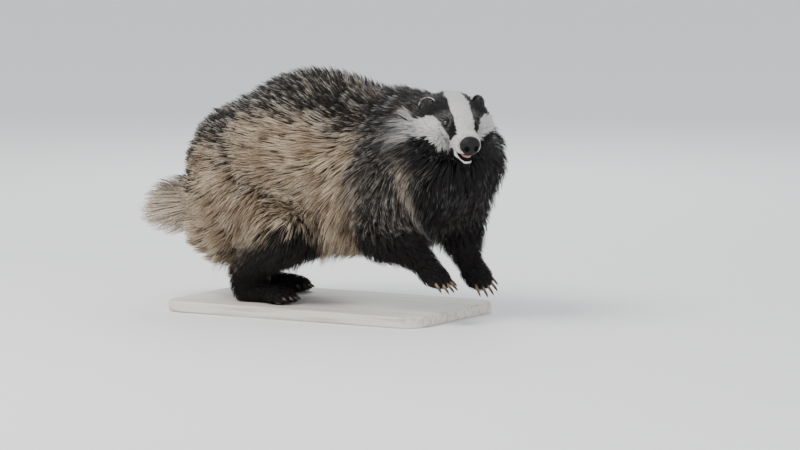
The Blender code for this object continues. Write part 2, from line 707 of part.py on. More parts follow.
def build_head(neck):
    """The head with its lids, lips, eyes, ears, nose, jaw and tongue."""
    flesh = neck_flesh(CORE_SHARE) + head_flesh()
    lids = []
    for side in (1, -1):
        lid = Oval(eye_centre(side), (6.9, 6.9, 6.6), blend=3).put_in(HEAD_FRAME, HEAD_AT)
        lids.append(lid)
    head = surface_of("head", flesh + lids, flesh + lids, 2.0, HEAD_SIDES, 1.0, BADGER)
    keep_beyond(head, HEAD_PLANES)
    nose = build_nose()
    cut_clear(head, nose)
    for side, word in ((1, "left"), (-1, "right")):
        way = eye_way(side)
        upright = Vector(way).to_track_quat("X", "Z").to_matrix()
        opening = Oval(eye_centre(side) + way * 7.0, (5.4, 6.2, 4.3), turn=upright)
        carve(head, 0.9, 110, opening.put_in(HEAD_FRAME, HEAD_AT))
        eye = build_eye(f"eye_{word}", side)
        cut_clear(head, eye)
        finish(eye, EYE)
        ear = build_ear(f"ear_{word}", side)
        cut_clear(ear, head, neck)
        finish(ear, BLACK)
    jaw = surface_of("jaw", jaw_flesh(), jaw_flesh(), 1.8, JAW_SIDES, 1.0, BADGER)
    tongue_flesh = [Oval((84, 0, -53), (14, 7.5, 3.0)).put_in(HEAD_FRAME, HEAD_AT)]
    tongue = surface_of("tongue", tongue_flesh, tongue_flesh, 1.2, 150, 0.0, BADGER)
    cut_clear(tongue, head, neck)
    cut_clear(jaw, head, neck, tongue)
    finish(neck, GREY)
    finish(head, WHITE)
    finish(jaw, WHITE)
    finish(tongue, TONGUE)
    finish(nose, LEATHER)


def build_base():
    """A flat board with round corners and a small bevel round its edges."""
    work = bmesh.new()
    across, along = BASE_WIDTH / 2 - BASE_CORNER, BASE_LENGTH / 2 - BASE_CORNER
    rings = []
    levels = ((0.0, BASE_BEVEL), (BASE_BEVEL, 0.0), (BASE_THICKNESS - BASE_BEVEL, 0.0), (BASE_THICKNESS, BASE_BEVEL))
    for level, inset in levels:
        ring = []
        for quarter, (sx, sy) in enumerate(((1, 1), (-1, 1), (-1, -1), (1, -1))):
            for step in range(6):
                angle = math.radians(90.0 * (quarter + step / 5))
                x = sx * along + (BASE_CORNER - inset) * math.cos(angle)
                y = sy * across + (BASE_CORNER - inset) * math.sin(angle)
                ring.append(work.verts.new((x * MM, y * MM, level * MM)))
        rings.append(ring)
    for lower, upper in zip(rings, rings[1:]):
        for i in range(len(lower)):
            j = (i + 1) % len(lower)
            work.faces.new((lower[i], lower[j], upper[j], upper[i]))
    work.faces.new(rings[0][::-1])
    work.faces.new(rings[-1])
    base = object_from("stand_base", work, BADGER)
    finish(base, BOARD)
    base.location.z = 0.0


def main():
    build_head(build_body())
    for foot in FEET:
        build_foot(foot)
    build_base()


main()
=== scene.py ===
import json
import math

import bmesh
import bpy
import numpy as np
from mathutils import Euler, Matrix, Vector
from mathutils.kdtree import KDTree

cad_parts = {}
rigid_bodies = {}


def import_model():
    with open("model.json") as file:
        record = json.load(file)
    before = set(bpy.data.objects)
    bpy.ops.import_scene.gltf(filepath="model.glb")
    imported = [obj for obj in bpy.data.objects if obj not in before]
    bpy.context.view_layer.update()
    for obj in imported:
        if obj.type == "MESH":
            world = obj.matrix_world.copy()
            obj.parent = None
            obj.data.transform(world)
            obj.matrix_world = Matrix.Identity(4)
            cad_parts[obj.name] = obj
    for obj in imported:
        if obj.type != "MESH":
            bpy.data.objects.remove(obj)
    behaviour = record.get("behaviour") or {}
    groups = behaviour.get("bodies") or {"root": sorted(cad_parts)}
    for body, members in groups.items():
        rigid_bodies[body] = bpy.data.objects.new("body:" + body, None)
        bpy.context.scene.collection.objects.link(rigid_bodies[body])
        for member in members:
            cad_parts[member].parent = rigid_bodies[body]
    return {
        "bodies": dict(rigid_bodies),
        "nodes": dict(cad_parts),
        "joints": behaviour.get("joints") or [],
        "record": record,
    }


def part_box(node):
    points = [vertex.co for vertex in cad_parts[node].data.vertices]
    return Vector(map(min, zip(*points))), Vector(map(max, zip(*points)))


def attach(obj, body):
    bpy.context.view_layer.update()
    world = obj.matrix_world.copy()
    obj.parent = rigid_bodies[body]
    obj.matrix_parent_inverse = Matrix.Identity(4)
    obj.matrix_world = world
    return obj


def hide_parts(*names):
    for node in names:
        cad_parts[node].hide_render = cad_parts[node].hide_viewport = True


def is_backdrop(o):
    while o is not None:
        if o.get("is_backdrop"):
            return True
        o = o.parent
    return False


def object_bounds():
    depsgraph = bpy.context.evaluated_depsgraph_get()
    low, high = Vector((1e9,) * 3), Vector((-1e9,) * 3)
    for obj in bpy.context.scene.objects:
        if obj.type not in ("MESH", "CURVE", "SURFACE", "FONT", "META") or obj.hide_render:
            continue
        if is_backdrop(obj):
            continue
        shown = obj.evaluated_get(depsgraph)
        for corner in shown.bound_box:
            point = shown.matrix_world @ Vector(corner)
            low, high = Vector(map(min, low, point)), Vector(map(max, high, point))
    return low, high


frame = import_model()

cad_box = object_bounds()

# The display base
# A flat board of limed ash, sawn, rounded at its corners and planed smooth. The model stands on it by its
# hind feet, which are fixed from below, so no screw shows.


def node(tree, kind, inputs=(), **settings):
    """Adds a node to a material, with these settings, and these inputs as values or links."""
    made = tree.nodes.new(kind)
    for name, value in settings.items():
        setattr(made, name, value)
    for name, value in dict(inputs).items():
        if isinstance(value, bpy.types.NodeSocket):
            tree.links.new(value, made.inputs[name])
        else:
            made.inputs[name].default_value = value
    return made


def finish_named(name, colour, roughness):
    """A new material: its tree and its shader, with this colour and roughness for a start."""
    material = bpy.data.materials.new(name)
    material.use_nodes = True
    shader = material.node_tree.nodes["Principled BSDF"]
    shader.inputs["Base Color"].default_value = (*colour, 1.0)
    shader.inputs["Roughness"].default_value = roughness
    return material, material.node_tree, shader


def mixed(tree, share, first, second, way="MIX"):
    """The mix of two colours, each a colour or a socket."""
    mix = node(tree, "ShaderNodeMix", data_type="RGBA", blend_type=way)
    for place, value in ((0, share), (6, first), (7, second)):
        if isinstance(value, bpy.types.NodeSocket):
            tree.links.new(value, mix.inputs[place])
        else:
            mix.inputs[place].default_value = value if place == 0 else (*value, 1.0)
    return mix.outputs[2]


def grain(tree, where, scale, stretch=(1.0, 1.0, 1.0), detail=3.0):
    """A noise on these coordinates, drawn out by a stretch along each axis."""
    turn = node(tree, "ShaderNodeMapping", {"Vector": where, "Scale": stretch})
    noise = node(tree, "ShaderNodeTexNoise", {"Vector": turn.outputs[0], "Scale": scale, "Detail": detail})
    return noise.outputs[0]


def relief(tree, shader, height, depth, strength=1.0):
    bump = node(tree, "ShaderNodeBump", {"Height": height, "Distance": depth, "Strength": strength})
    tree.links.new(bump.outputs[0], shader.inputs["Normal"])


LIMED, GRAIN_LINE = (0.72, 0.69, 0.64), (0.50, 0.45, 0.38)
board_finish, tree, shader = finish_named("limed_ash", LIMED, 0.55)
place = node(tree, "ShaderNodeTexCoord").outputs["Object"]
pores = grain(tree, place, 60.0, (0.12, 2.6, 2.6), 6.0)
figure = grain(tree, place, 9.0, (0.25, 1.6, 1.6), 2.0)
lines = node(tree, "ShaderNodeMapRange", {"Value": pores, "From Min": 0.48, "From Max": 0.66}).outputs[0]
broad = mixed(tree, figure, LIMED, (0.63, 0.59, 0.53))
tree.links.new(mixed(tree, lines, broad, GRAIN_LINE), shader.inputs["Base Color"])
relief(tree, shader, pores, 0.0004, 0.35)
frame["nodes"]["stand_base"].material_slots[0].material = board_finish

# The mannikin under the skin
# A stuffed badger's skin is drawn over a carved form. Here it is a family of ovals and tapering limbs that
# blend into one another, in millimetres above the soles, the same as in the part's source. The coat's depth
# passes from one to the next over FADE.
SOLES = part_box("stand_base")[1].z + 0.0003
MM = 0.001
HEAD_AT = np.array((256.3, -53.0, 328.5))
BACK_COAT, FLANK_COAT, BELLY_COAT, NECK_COAT = 31.0, 27.0, 24.0, 28.0
CHEEK_COAT, FACE_COAT, LEG_COAT, SHANK_COAT, TAIL_COAT = 16.0, 2.5, 20.0, 8.0, 23.0
KINDS_OF_FUR = range(4)
GRIZZLED, BLACK_FUR, TAIL_FUR, FACE_FUR = KINDS_OF_FUR
FADE = 14.0


def turned(yaw=0.0, pitch=0.0, roll=0.0):
    return np.array(Euler((math.radians(roll), math.radians(pitch), math.radians(yaw))).to_matrix())


def blank(make, **sizes):
    """The corners and faces of one of Blender's plain shapes."""
    work = bmesh.new()
    make(work, **sizes)
    corners = np.array([vertex.co for vertex in work.verts])
    faces = [[vertex.index for vertex in face.verts] for face in work.faces]
    work.free()
    return corners, faces


BALL = blank(bmesh.ops.create_uvsphere, u_segments=28, v_segments=16, radius=1.0)
TUBE = blank(bmesh.ops.create_cone, cap_ends=True, segments=28, radius1=1.0, radius2=1.0, depth=1.0)


class Oval:
    """An ellipsoid of flesh, with the depth, lie and kind of the coat that it carries."""

    def __init__(
        self, centre, radii, coat=0.0, lie=(-1.0, 0.0, -0.1), blend=22.0, kind=GRIZZLED, turn=np.eye(3),
    ):
        self.centre, self.radii, self.turn = (np.array(part, np.float32) for part in (centre, radii, turn))
        self.coat, self.lie, self.blend, self.kind = coat, np.array(lie, np.float32), blend, kind

    def distance(self, points):
        local = (points - self.centre) @ self.turn
        near = np.linalg.norm(local / self.radii, axis=1) + 1e-9
        steep = np.linalg.norm(local / self.radii**2, axis=1) + 1e-9
        return near * (near - 1.0) / steep

    def put_in(self, frame, origin):
        return Oval(
            frame @ self.centre + origin, self.radii, self.coat, frame @ self.lie, self.blend, self.kind,
            frame @ self.turn,
        )

    def forms(self):
        yield BALL[0] * self.radii @ self.turn.T + self.centre, BALL[1]


class Limb:
    """A round length of flesh that tapers from one end's radius to the other's."""

    def __init__(self, start, end, start_radius, end_radius, coat=0.0, lie=None, blend=18.0, kind=GRIZZLED):
        self.start, self.end = np.array(start, np.float32), np.array(end, np.float32)
        self.radii, self.coat, self.blend, self.kind = (start_radius, end_radius), coat, blend, kind
        self.lie = self.end - self.start if lie is None else np.array(lie, np.float32)

    def distance(self, points):
        along = self.end - self.start
        share = np.clip((points - self.start) @ along / (along @ along), 0.0, 1.0)
        reach = np.linalg.norm(points - self.start - share[:, None] * along, axis=1)
        return reach - self.radii[0] - share * (self.radii[1] - self.radii[0])

    def put_in(self, frame, origin):
        start, end = frame @ self.start + origin, frame @ self.end + origin
        return Limb(start, end, *self.radii, self.coat, frame @ self.lie, self.blend, self.kind)

    def forms(self):
        along = Vector(self.end - self.start)
        upright = np.array(along.to_track_quat("Z", "Y").to_matrix())
        tube = TUBE[0].copy()
        tube[:, :2] *= np.where(tube[:, 2:] < 0.0, *self.radii)
        tube[:, 2] = tube[:, 2] * along.length
        yield tube @ upright.T + (self.start + self.end) / 2.0, TUBE[1]
        for end, radius in zip((self.start, self.end), self.radii):
            yield BALL[0] * radius + end, BALL[1]


def height_over(flesh, points, share=0.0):
    """How far each point is outside the blended flesh with this share of its coat."""
    total = flesh[0].distance(points) - share * flesh[0].coat
    for piece in flesh[1:]:
        other = piece.distance(points) - share * piece.coat
        mix = np.clip(0.5 + 0.5 * (other - total) / piece.blend, 0.0, 1.0)
        total = other + (total - other) * mix - piece.blend * mix * (1.0 - mix)
    return total


def slope_over(flesh, points, share=0.0, step=0.4):
    """The gradient of that height at each point."""
    ways = np.eye(3, dtype=np.float32) * step
    sides = [height_over(flesh, points + sign * way, share) for way in ways for sign in (1, -1)]
    return np.stack([sides[0] - sides[1], sides[2] - sides[3], sides[4] - sides[5]], axis=1) / (2.0 * step)


def settle(flesh, points, rounds=3):
    """Moves points along the slope onto the flesh."""
    points = points.astype(np.float32)
    for _ in range(rounds):
        slope = slope_over(flesh, points)
        step = height_over(flesh, points) / np.maximum((slope**2).sum(axis=1), 0.25)
        points = points - np.clip(step, -3.0, 3.0)[:, None] * slope
    return points


def coat_over(flesh, points):
    """The coat's depth, its lie and the share of each kind of fur, from the flesh nearest to each point."""
    near = np.stack([piece.distance(points) for piece in flesh])
    weight = np.exp((near.min(axis=0) - near) / FADE)
    weight /= weight.sum(axis=0)
    depth = weight.T @ np.array([piece.coat for piece in flesh])
    way = weight.T @ np.stack([piece.lie / np.linalg.norm(piece.lie) for piece in flesh])
    kinds = [weight[[piece.kind == kind for piece in flesh]].sum(axis=0) for kind in KINDS_OF_FUR]
    return depth, way, np.stack(kinds, axis=1)


HEAD_FRAME = turned(-46.0, 15.0, 2.0)
DOWN = (-0.35, 0.0, -1.0)
trunk = [
    Oval((-128, 0, 205), (98, 90, 90), BACK_COAT, (-1.0, 0.0, 0.35)),
    Oval((-152, 0, 144), (72, 86, 66), FLANK_COAT, (-1.0, 0.0, -0.2)),
    Oval((-20, 0, 240), (125, 94, 104), BACK_COAT, (-1.0, 0.0, 0.25)),
    Oval((70, 0, 226), (105, 91, 95), BACK_COAT, (-0.7, 0.0, -0.5)),
    Oval((135, 0, 220), (76, 84, 84), FLANK_COAT, DOWN),
    Oval((165, 0, 198), (58, 70, 54), FLANK_COAT, DOWN, kind=BLACK_FUR),
    Oval((0, 0, 167), (138, 84, 58), BELLY_COAT, (-0.5, 0.0, -1.0)),
]
neck = [
    Limb((138, 0, 244), (224, -24, 264), 77, 61, NECK_COAT, (-1.0, 0.3, -0.5), 22),
    Oval((194, 32, 232), (72, 74, 68), NECK_COAT, (-0.4, 0.2, -1.0), 20, BLACK_FUR),
    Oval((214, -20, 214), (50, 50, 46), FLANK_COAT, (-0.2, 0.0, -1.0), 20, BLACK_FUR),
]
tail = [
    Limb((-205, 0, 166), (-258, 2, 150), 24, 13, TAIL_COAT, (-1.0, 0.0, -0.25), 14, TAIL_FUR),
    Limb((-258, 2, 150), (-306, 4, 143), 13, 10, TAIL_COAT + 2, (-1.0, 0.0, -0.1), 12, TAIL_FUR),
]
LEGS = {
    "foreleg_right": ((150, -54, 205), (142, -76, 132), (211, -73, 82)),
    "foreleg_left": ((166, 52, 205), (199, 64, 142), (215, 62, 75)),
    "hindleg_right": ((-112, -46, 180), (-24, -82, 124), (-114, -76, 42)),
    "hindleg_left": ((-128, 46, 182), (-80, 84, 122), (-180, 76, 42)),
}
FEET = {
    "forepaw_right": ("foreleg_right", turned(-2.0, 26.0, 6.0)),
    "forepaw_left": ("foreleg_left", turned(2.0, 40.0, 20.0)),
    "hindfoot_right": ("hindleg_right", turned(0.0)),
    "hindfoot_left": ("hindleg_left", turned(0.0)),
}
legs = []
for leg, (top, bend, ankle) in LEGS.items():
    radii = (50, 32, 14) if leg.startswith("fore") else (60, 40, 16)
    legs.append(Limb(top, bend, radii[0], radii[1], LEG_COAT, (-0.2, 0.0, -1.0), 20, BLACK_FUR))
    legs.append(Limb(bend, ankle, radii[1], radii[2], SHANK_COAT, None, 20, BLACK_FUR))

TOE_SPREAD, TOE_BACK = (-19.0, -10.0, 0.0, 10.0, 18.5), (8.0, 1.5, 0.0, 2.5, 11.0)


def toe_ends(foot):
    """Root and tip of each toe in the foot's own frame, from its right to its left."""
    root_at, length, level = (40.0, 17.0, -13.0) if foot.startswith("fore") else (80.0, 15.0, -33.0)
    for spread, back in zip(TOE_SPREAD, TOE_BACK):
        root = (root_at - back - 12.0, 0.75 * spread, level + 1.0)
        yield root, (root_at - back + length - 8.0, spread, level)


feet = []
for foot, (leg, turn) in FEET.items():
    forward, ankle = (1.0, 0.0, -0.2), np.array(LEGS[leg][2], float)
    if foot.startswith("fore"):
        parts = [
            Limb((-14, 0, 3), (22, 0, -4), 15, 13.5, SHANK_COAT - 2, forward, 8, BLACK_FUR),
            Oval((28, 0, -9), (24, 21, 11), FACE_COAT, forward, 6, BLACK_FUR),
        ]
    else:
        parts = [
            Limb((0, 0, 6), (2, 0, -22), 17, 15, SHANK_COAT - 2, forward, 8, BLACK_FUR),
            Limb((0, 0, -25), (60, 0, -29), 14, 11, FACE_COAT, forward, 8, BLACK_FUR),
            Oval((64, 0, -29), (26, 22, 11), FACE_COAT, forward, 6, BLACK_FUR),
        ]
    for root, tip in toe_ends(foot):
        parts.append(Limb(root, tip, 7.4, 6.6, FACE_COAT, forward, 3, BLACK_FUR))
    feet += [piece.put_in(turn, ankle) for piece in parts]

BACK = (-1.0, 0.0, -0.1)
head = [
    Oval((-2, 0, -26), (48, 41, 29.5), FACE_COAT + 2, BACK, 14, FACE_FUR),
    Oval((36, 0, -19.5), (40, 23.5, 22), FACE_COAT, BACK, 12, FACE_FUR),
    Oval((74, 0, -30), (40, 17.5, 15.5), FACE_COAT, BACK, 9, FACE_FUR),
    Oval((89, 0, -32), (15, 15.5, 13.5), FACE_COAT, BACK, 6, FACE_FUR),
]
for side in (1, -1):
    head += [
        Oval((6, 32 * side, -40), (33, 20, 26), CHEEK_COAT, BACK, 12, FACE_FUR),
        Oval((47, 15 * side, -16), (18, 8.5, 9.5), FACE_COAT, BACK, 8, FACE_FUR),
        Oval((78, 10 * side, -38.5), (25, 8.5, 8.5), FACE_COAT, BACK, 5, FACE_FUR),
    ]
jaw = [
    Limb((16, 0, -54), (60, 0, -58), 20, 12, FACE_COAT, (-1.0, 0.0, -0.2), 8, FACE_FUR),
    Limb((58, 0, -58.5), (90, 0, -61.5), 11.5, 7.0, FACE_COAT, (-1.0, 0.0, -0.2), 6, FACE_FUR),
]
EYE_X, EYE_Z, EYE_RADIUS, EYE_OUT = 53.0, -12.0, 5.4, 2.6


def on_head(*pieces):
    """Pieces given in the head's own frame, put in their place."""
    return [piece.put_in(HEAD_FRAME, HEAD_AT) for piece in pieces]


def to_head(points):
    """Each point's place along, across and up in the head's own frame."""
    return ((points - HEAD_AT) @ HEAD_FRAME).T


head, jaw = on_head(*head), on_head(*jaw)


def eye_centre(side):
    """A point a little under the face at the eye's place, found by moving outward."""
    reach = np.linspace(10.0, 45.0, 351)
    line = np.stack([np.full_like(reach, EYE_X), side * reach, np.full_like(reach, EYE_Z)], axis=1)
    out = reach[np.argmax(height_over(head, line @ HEAD_FRAME.T + HEAD_AT, 1.0) > 0.0)]
    return np.array((EYE_X - 1.0, side * (out - EYE_OUT), EYE_Z))


SIDES = {"left": 1, "right": -1}
EYES = {word: eye_centre(side) for word, side in SIDES.items()}
lids = on_head(*(Oval(centre, (6.3, 6.3, 6.0), 0.4, BACK, 5, FACE_FUR) for centre in EYES.values()))
mouth = on_head(Oval((75, 0, -54), (23.5, 8.8, 10.5)))
jaw_hollow = on_head(Oval((80, 0, -53), (26, 12.5, 9.5)))
nose_pad = on_head(Oval((106, 0, -30.5), (11.5, 16, 14), blend=4), Oval((110, 0, -36), (7.5, 11, 9), blend=4))
head += lids
pads = []
for foot, (leg, turn) in FEET.items():
    palm = Oval((26, 0, -17), (12, 15, 4.5)) if foot.startswith("fore") else Oval((62, 0, -36), (14, 13, 4))
    soles = [Oval(np.array(tip) + (-3.5, 0, -4.6), (5.6, 4.5, 3.6), blend=2) for _, tip in toe_ends(foot)]
    pads += [pad.put_in(turn, np.array(LEGS[leg][2], float)) for pad in (palm, *soles)]
flesh = trunk + neck + tail + legs + head + feet

# The skin
# One closed hide over the whole mannikin, from the nose pad to the tail and the toes, with the lower jaw's
# joined on under the lips and hollowed to a thin rim. The lids are cut open over the eyes. It is dyed as the
# coat over it is, and on the body darker still as painted shade under the hair, so that no gap in the hair
# shows pale.
HIDE_VOXEL, JAW_VOXEL = 3.4, 1.6


def object_from(name, work):
    mesh = bpy.data.meshes.new(name)
    work.to_mesh(mesh)
    work.free()
    thing = bpy.data.objects.new(name, mesh)
    bpy.context.scene.collection.objects.link(thing)
    return thing


def bake(thing):
    """Applies every modifier of the object."""
    graph = bpy.context.evaluated_depsgraph_get()
    mesh = bpy.data.meshes.new_from_object(thing.evaluated_get(graph))
    thing.modifiers.clear()
    thing.data = mesh
    return thing


def corners_of(mesh):
    points = np.empty(len(mesh.vertices) * 3)
    mesh.vertices.foreach_get("co", points)
    return points.reshape(-1, 3)


def surface_of(name, pieces, voxel):
    """One closed mesh of these pieces: joined, remeshed, and each vertex moved onto the blended flesh."""
    corners, faces = [], []
    for points, sides in (form for piece in pieces for form in piece.forms()):
        faces += [[corner + len(corners) for corner in side] for side in sides]
        corners += list(points * MM)
    mesh = bpy.data.meshes.new(name)
    mesh.from_pydata(corners, [], faces)
    thing = bpy.data.objects.new(name, mesh)
    bpy.context.scene.collection.objects.link(thing)
    remesh = thing.modifiers.new("Join", "REMESH")
    remesh.mode, remesh.voxel_size = "VOXEL", voxel * MM
    bake(thing)
    points = settle(pieces, corners_of(thing.data) / MM)
    thing.data.vertices.foreach_set("co", (points * MM).ravel())
    thing.data.update()
    return thing


def combine(thing, other, operation="UNION"):
    cut = thing.modifiers.new("Cut", "BOOLEAN")
    cut.operation, cut.object, cut.solver = operation, other, "MANIFOLD"
    bake(thing)
    bpy.data.objects.remove(other)
    return thing


def refine(thing, near, flesh):
    """Splits the faces near these pieces in four, and moves the new corners onto the blended flesh."""
    close = np.min([piece.distance(corners_of(thing.data) / MM) for piece in near], axis=0) < 6.0
    work = bmesh.new()
    work.from_mesh(thing.data)
    edges = [edge for edge in work.edges if all(close[vertex.index] for vertex in edge.verts)]
    bmesh.ops.subdivide_edges(work, edges=edges, cuts=1, use_grid_fill=True)
    bmesh.ops.triangulate(work, faces=work.faces[:])
    work.to_mesh(thing.data)
    work.free()
    points = corners_of(thing.data) / MM
    close = np.min([piece.distance(points) for piece in near], axis=0) < 7.0
    points[close] = settle(flesh, points[close])
    thing.data.vertices.foreach_set("co", (points * MM).ravel())
    thing.data.update()


def sink(thing, *forms, voxel=0.8):
    """Cuts hollows of these shapes into a piece."""
    for form in forms:
        combine(thing, surface_of("hollow", [form], voxel), "DIFFERENCE")
    return thing


skin = surface_of("skin", flesh, HIDE_VOXEL)
refine(skin, head, neck + head)
refine(skin, feet, legs + feet)
refine(skin, lids, head)
jaw_skin = sink(surface_of("jaw_skin", jaw, JAW_VOXEL), *mouth, *jaw_hollow)
combine(skin, jaw_skin)
for word, side in SIDES.items():
    way = np.array(Vector((0.5, side * 0.8, 0.25)).normalized())
    upright = np.array(Vector(way).to_track_quat("X", "Z").to_matrix())
    sink(skin, *on_head(Oval(EYES[word] + way * 7.0, (5.6, 5.2, 3.9), turn=upright)), voxel=0.6)

# The markings
# A badger's face is white with two black stripes through the eyes and ears. The throat, chest and legs are
# black, the tail is cream, and each hair of the back is pale with a dark band under its tip.
WHITE, CREAM, TAN, SILVER = (0.82, 0.80, 0.78), (0.60, 0.48, 0.34), (0.31, 0.22, 0.135), (0.55, 0.54, 0.53)
# The inside of the mouth is a near-black red: the lining's own red, darkened as painted shade in the hollow
# of the mouth.
MOUTH_SHADE_RED = (0.035, 0.012, 0.012)
BLACK, BROWN, SMOKE = (0.008, 0.008, 0.009), (0.050, 0.036, 0.026), (0.17, 0.165, 0.155)
STRIPE_IN = ((-40, 24), (-6, 26), (6, 29), (22, 34), (37, 36), (58, 32), (70, 34), (80, 42), (90, 52))
STRIPE_OUT = ((-40, 90), (0, 86), (24, 79), (39, 78), (48, 84), (60, 86), (65, 104), (70, 132), (92, 132))
BLAZE_LEAN = ((-40, 8), (20, 8), (45, 5), (70, 0))
STRIPE_END = ((30, 93), (50, 90), (76, 82), (98, 74), (130, 61), (180, 40))
LIP_LOW = -63.0
CHEEK_LOW = ((20, -54), (30, -47), (36, -40), (42, -36), (53, -35), (65, -38), (80, -48))
SWIRL_SEED, HIDE_SEED, COAT_SEED = 23, 3, 41
chance = np.random.default_rng(SWIRL_SEED)
SWIRLS = chance.normal(size=(3, 14, 3)), chance.uniform(0.0, 2.0 * math.pi, size=(3, 14))


def drift(points, size, which=0):
    """A smooth random field between about -1 and 1, whose patches have this size in millimetres."""
    ways, phases = SWIRLS[0][which] / size * 2.2, SWIRLS[1][which]
    return np.sin(points @ ways.T + phases).sum(axis=1) / 2.7


def soft_step(value, low, high):
    """0 below low, 1 above high and a smooth rise between them."""
    share = np.clip((value - low) / (high - low), 0.0, 1.0)
    return share * share * (3.0 - 2.0 * share)


def face_black(points):
    """How black each point of the head is: 1 in the stripes and under the throat, 0 on the white."""
    x, y, z = to_head(points)
    axis = np.interp(x, (-20, 36, 74, 100), (-26, -20, -31, -33))
    lean = np.interp(x, *zip(*BLAZE_LEAN))
    round_by = np.abs(np.degrees(np.arctan2(y, z - axis)) - lean) + 1.2 * drift(points, 9.0)
    inner = np.interp(x, *zip(*STRIPE_IN))
    outer = np.interp(x, *zip(*STRIPE_OUT)) + 1.7 * lean * (y < 0.0)
    end = np.interp(round_by, *zip(*STRIPE_END))
    stripe = soft_step(round_by, inner - 2, inner + 2) * (1.0 - soft_step(round_by, outer - 3, outer + 3))
    stripe *= 1.0 - soft_step(x, end - 2, end + 2)
    edge = np.interp(np.abs(y), *zip(*CHEEK_LOW)) - 0.7 * np.clip(28.0 - x, 0.0, 80.0)
    edge = np.where(x > 62.0, LIP_LOW, edge + 2.5 * drift(points, 14.0, 1))
    throat = 1.0 - soft_step(z, edge - 3, edge + 2)
    return np.maximum(stripe, throat)


def mix_of(first, second, share):
    """Colours between two, each one colour or one for each tuft."""
    first, second = np.atleast_2d(first), np.atleast_2d(second)
    return first + (second - first) * np.broadcast_to(share, len(np.atleast_1d(share)))[:, None]


def black_areas(points, kinds):
    """How far each point is in the black of the hind legs, the forelegs or the chest and throat."""
    x, _, z = points.T
    wave = 5.0 * drift(points, 28.0) + 9.0 * drift(points, 4.0, 1)
    edge = np.interp(x, (-129, -74, -14, 30, 49, 80), (76, 104, 134, 148, 115, 100))
    thigh = soft_step(edge - z + wave, -14.0, 16.0) * soft_step(kinds[:, BLACK_FUR], 0.15, 0.45)
    thigh *= 1.0 - soft_step(x, 60.0, 90.0)
    arm = soft_step(x, 88.0, 112.0) * (1.0 - soft_step(z + wave, 128.0, 152.0))
    chest = soft_step(x + 0.6 * wave, 198.0, 212.0) * (1.0 - soft_step(z, 285.0, 305.0))
    return np.maximum.reduce([thigh, arm, chest])


def grizzled_hair(points, out, luck, shade):
    """Tan and cream on the flanks, with black tips on the back, and black under silver on the shoulders."""
    x, _, z = points.T
    top = soft_step(out[:, 2], 0.25, 0.7) * soft_step(z - 0.25 * x, 180.0, 230.0)
    dusk = np.maximum(top, soft_step(-out[:, 0], 0.25, 0.7) * soft_step(z, 150.0, 190.0))
    front = soft_step(x + 9.0 * drift(points, 30.0), 108.0, 142.0)
    collar = soft_step(x, 172.0, 188.0) * soft_step(z, 165.0, 205.0) * (1.0 - soft_step(z, 244.0, 268.0))
    collar *= soft_step(luck, 0.1, 0.5)
    tipped = 0.78 - 0.48 * np.maximum(dusk, 0.75 * front)
    dark = soft_step(luck, tipped, tipped + 0.04)
    dark *= 1.0 - 0.7 * collar
    fair = mix_of(TAN, CREAM, soft_step(shade + 0.3 * drift(points, 26.0, 1), 0.1, 0.9))
    fair = mix_of(fair, SILVER, 0.55 * np.maximum(front, 0.5 * top))
    fair = mix_of(fair, CREAM, 0.7 * collar)
    # The roots are painted at half the fair colour: painted shade deep between the locks. On the shoulders
    # they run to black, which is the hair's own colour.
    root = mix_of(fair * 0.5, BLACK, 0.75 * front * (1.0 - collar))
    middle = mix_of(fair, BROWN, np.clip(0.9 * dark + 0.6 * front * (1.0 - collar), 0.0, 0.95))
    dim = np.clip(0.06 + 0.5 * top + 0.62 * front * (1.0 - collar) + 0.8 * dark, 0.0, 0.97)
    band = mix_of(middle, BLACK, dim)
    tip = mix_of(mix_of(fair, SILVER, 0.2 + 0.5 * top), BLACK, 0.95 * dark)
    return np.stack([root, middle, band, tip], axis=1)


def coat_colours(points, out, kinds, luck, chance):
    """Each tuft's colour at its root, its middle, its dark band and its tip."""
    x, y, z = points.T
    count = len(points)
    shade = chance.random(count)
    grizzled = grizzled_hair(points, out, luck, shade)
    sooty = np.repeat(mix_of(BLACK, BROWN, 0.3 * shade)[:, None], 4, axis=1)
    frosted = soft_step(luck, 0.62, 0.68) * soft_step(z, 120.0, 160.0)
    frosted *= 0.35 + 0.45 * soft_step(np.abs(y), 55.0, 95.0)
    sooty[:, 3] = mix_of(sooty[:, 2] * 1.5, SILVER, frosted)
    black = black_areas(points, kinds)
    coat = grizzled + (sooty - grizzled) * black[:, None, None]
    cream = mix_of(TAN, mix_of(CREAM, WHITE, 0.35), soft_step(shade, 0.0, 0.6))
    pale = np.repeat(cream[:, None], 4, axis=1)
    # The tail's roots are painted at 0.4 of the cream: painted shade between the locks.
    pale[:, 0] *= 0.4
    tail_top = soft_step(out[:, 2], 0.0, 0.8) * (1.0 - soft_step(-x, 262.0, 300.0))
    pale += (np.array(BROWN) - pale) * (0.8 * tail_top * soft_step(luck, 0.2, 0.35))[:, None, None]
    head_x, head_y, head_z = to_head(points)
    nape = soft_step(head_x, -48.0, -18.0)
    face = mix_of(WHITE, BLACK, soft_step(face_black(points) + 0.3 * (shade - 0.5), 0.35, 0.65))
    from_eye = np.hypot(np.hypot(head_x - EYE_X + 6.0, np.abs(head_y) - 27.0), head_z - EYE_Z)
    smoky = (1.0 - soft_step(from_eye, 13.0, 24.0)) * soft_step(luck, 0.15, 0.7) * (face[:, 0] < 0.3)
    face = mix_of(face, SMOKE, smoky)
    face = np.repeat(face[:, None], 4, axis=1) * (0.84 + 0.2 * chance.random(count))[:, None, None]
    face = coat + (face - coat) * nape[:, None, None]
    body = kinds[:, GRIZZLED] + kinds[:, BLACK_FUR]
    shares = (body, kinds[:, TAIL_FUR], kinds[:, FACE_FUR])
    return sum(share[:, None, None] * part for share, part in zip(shares, (coat, pale, face)))


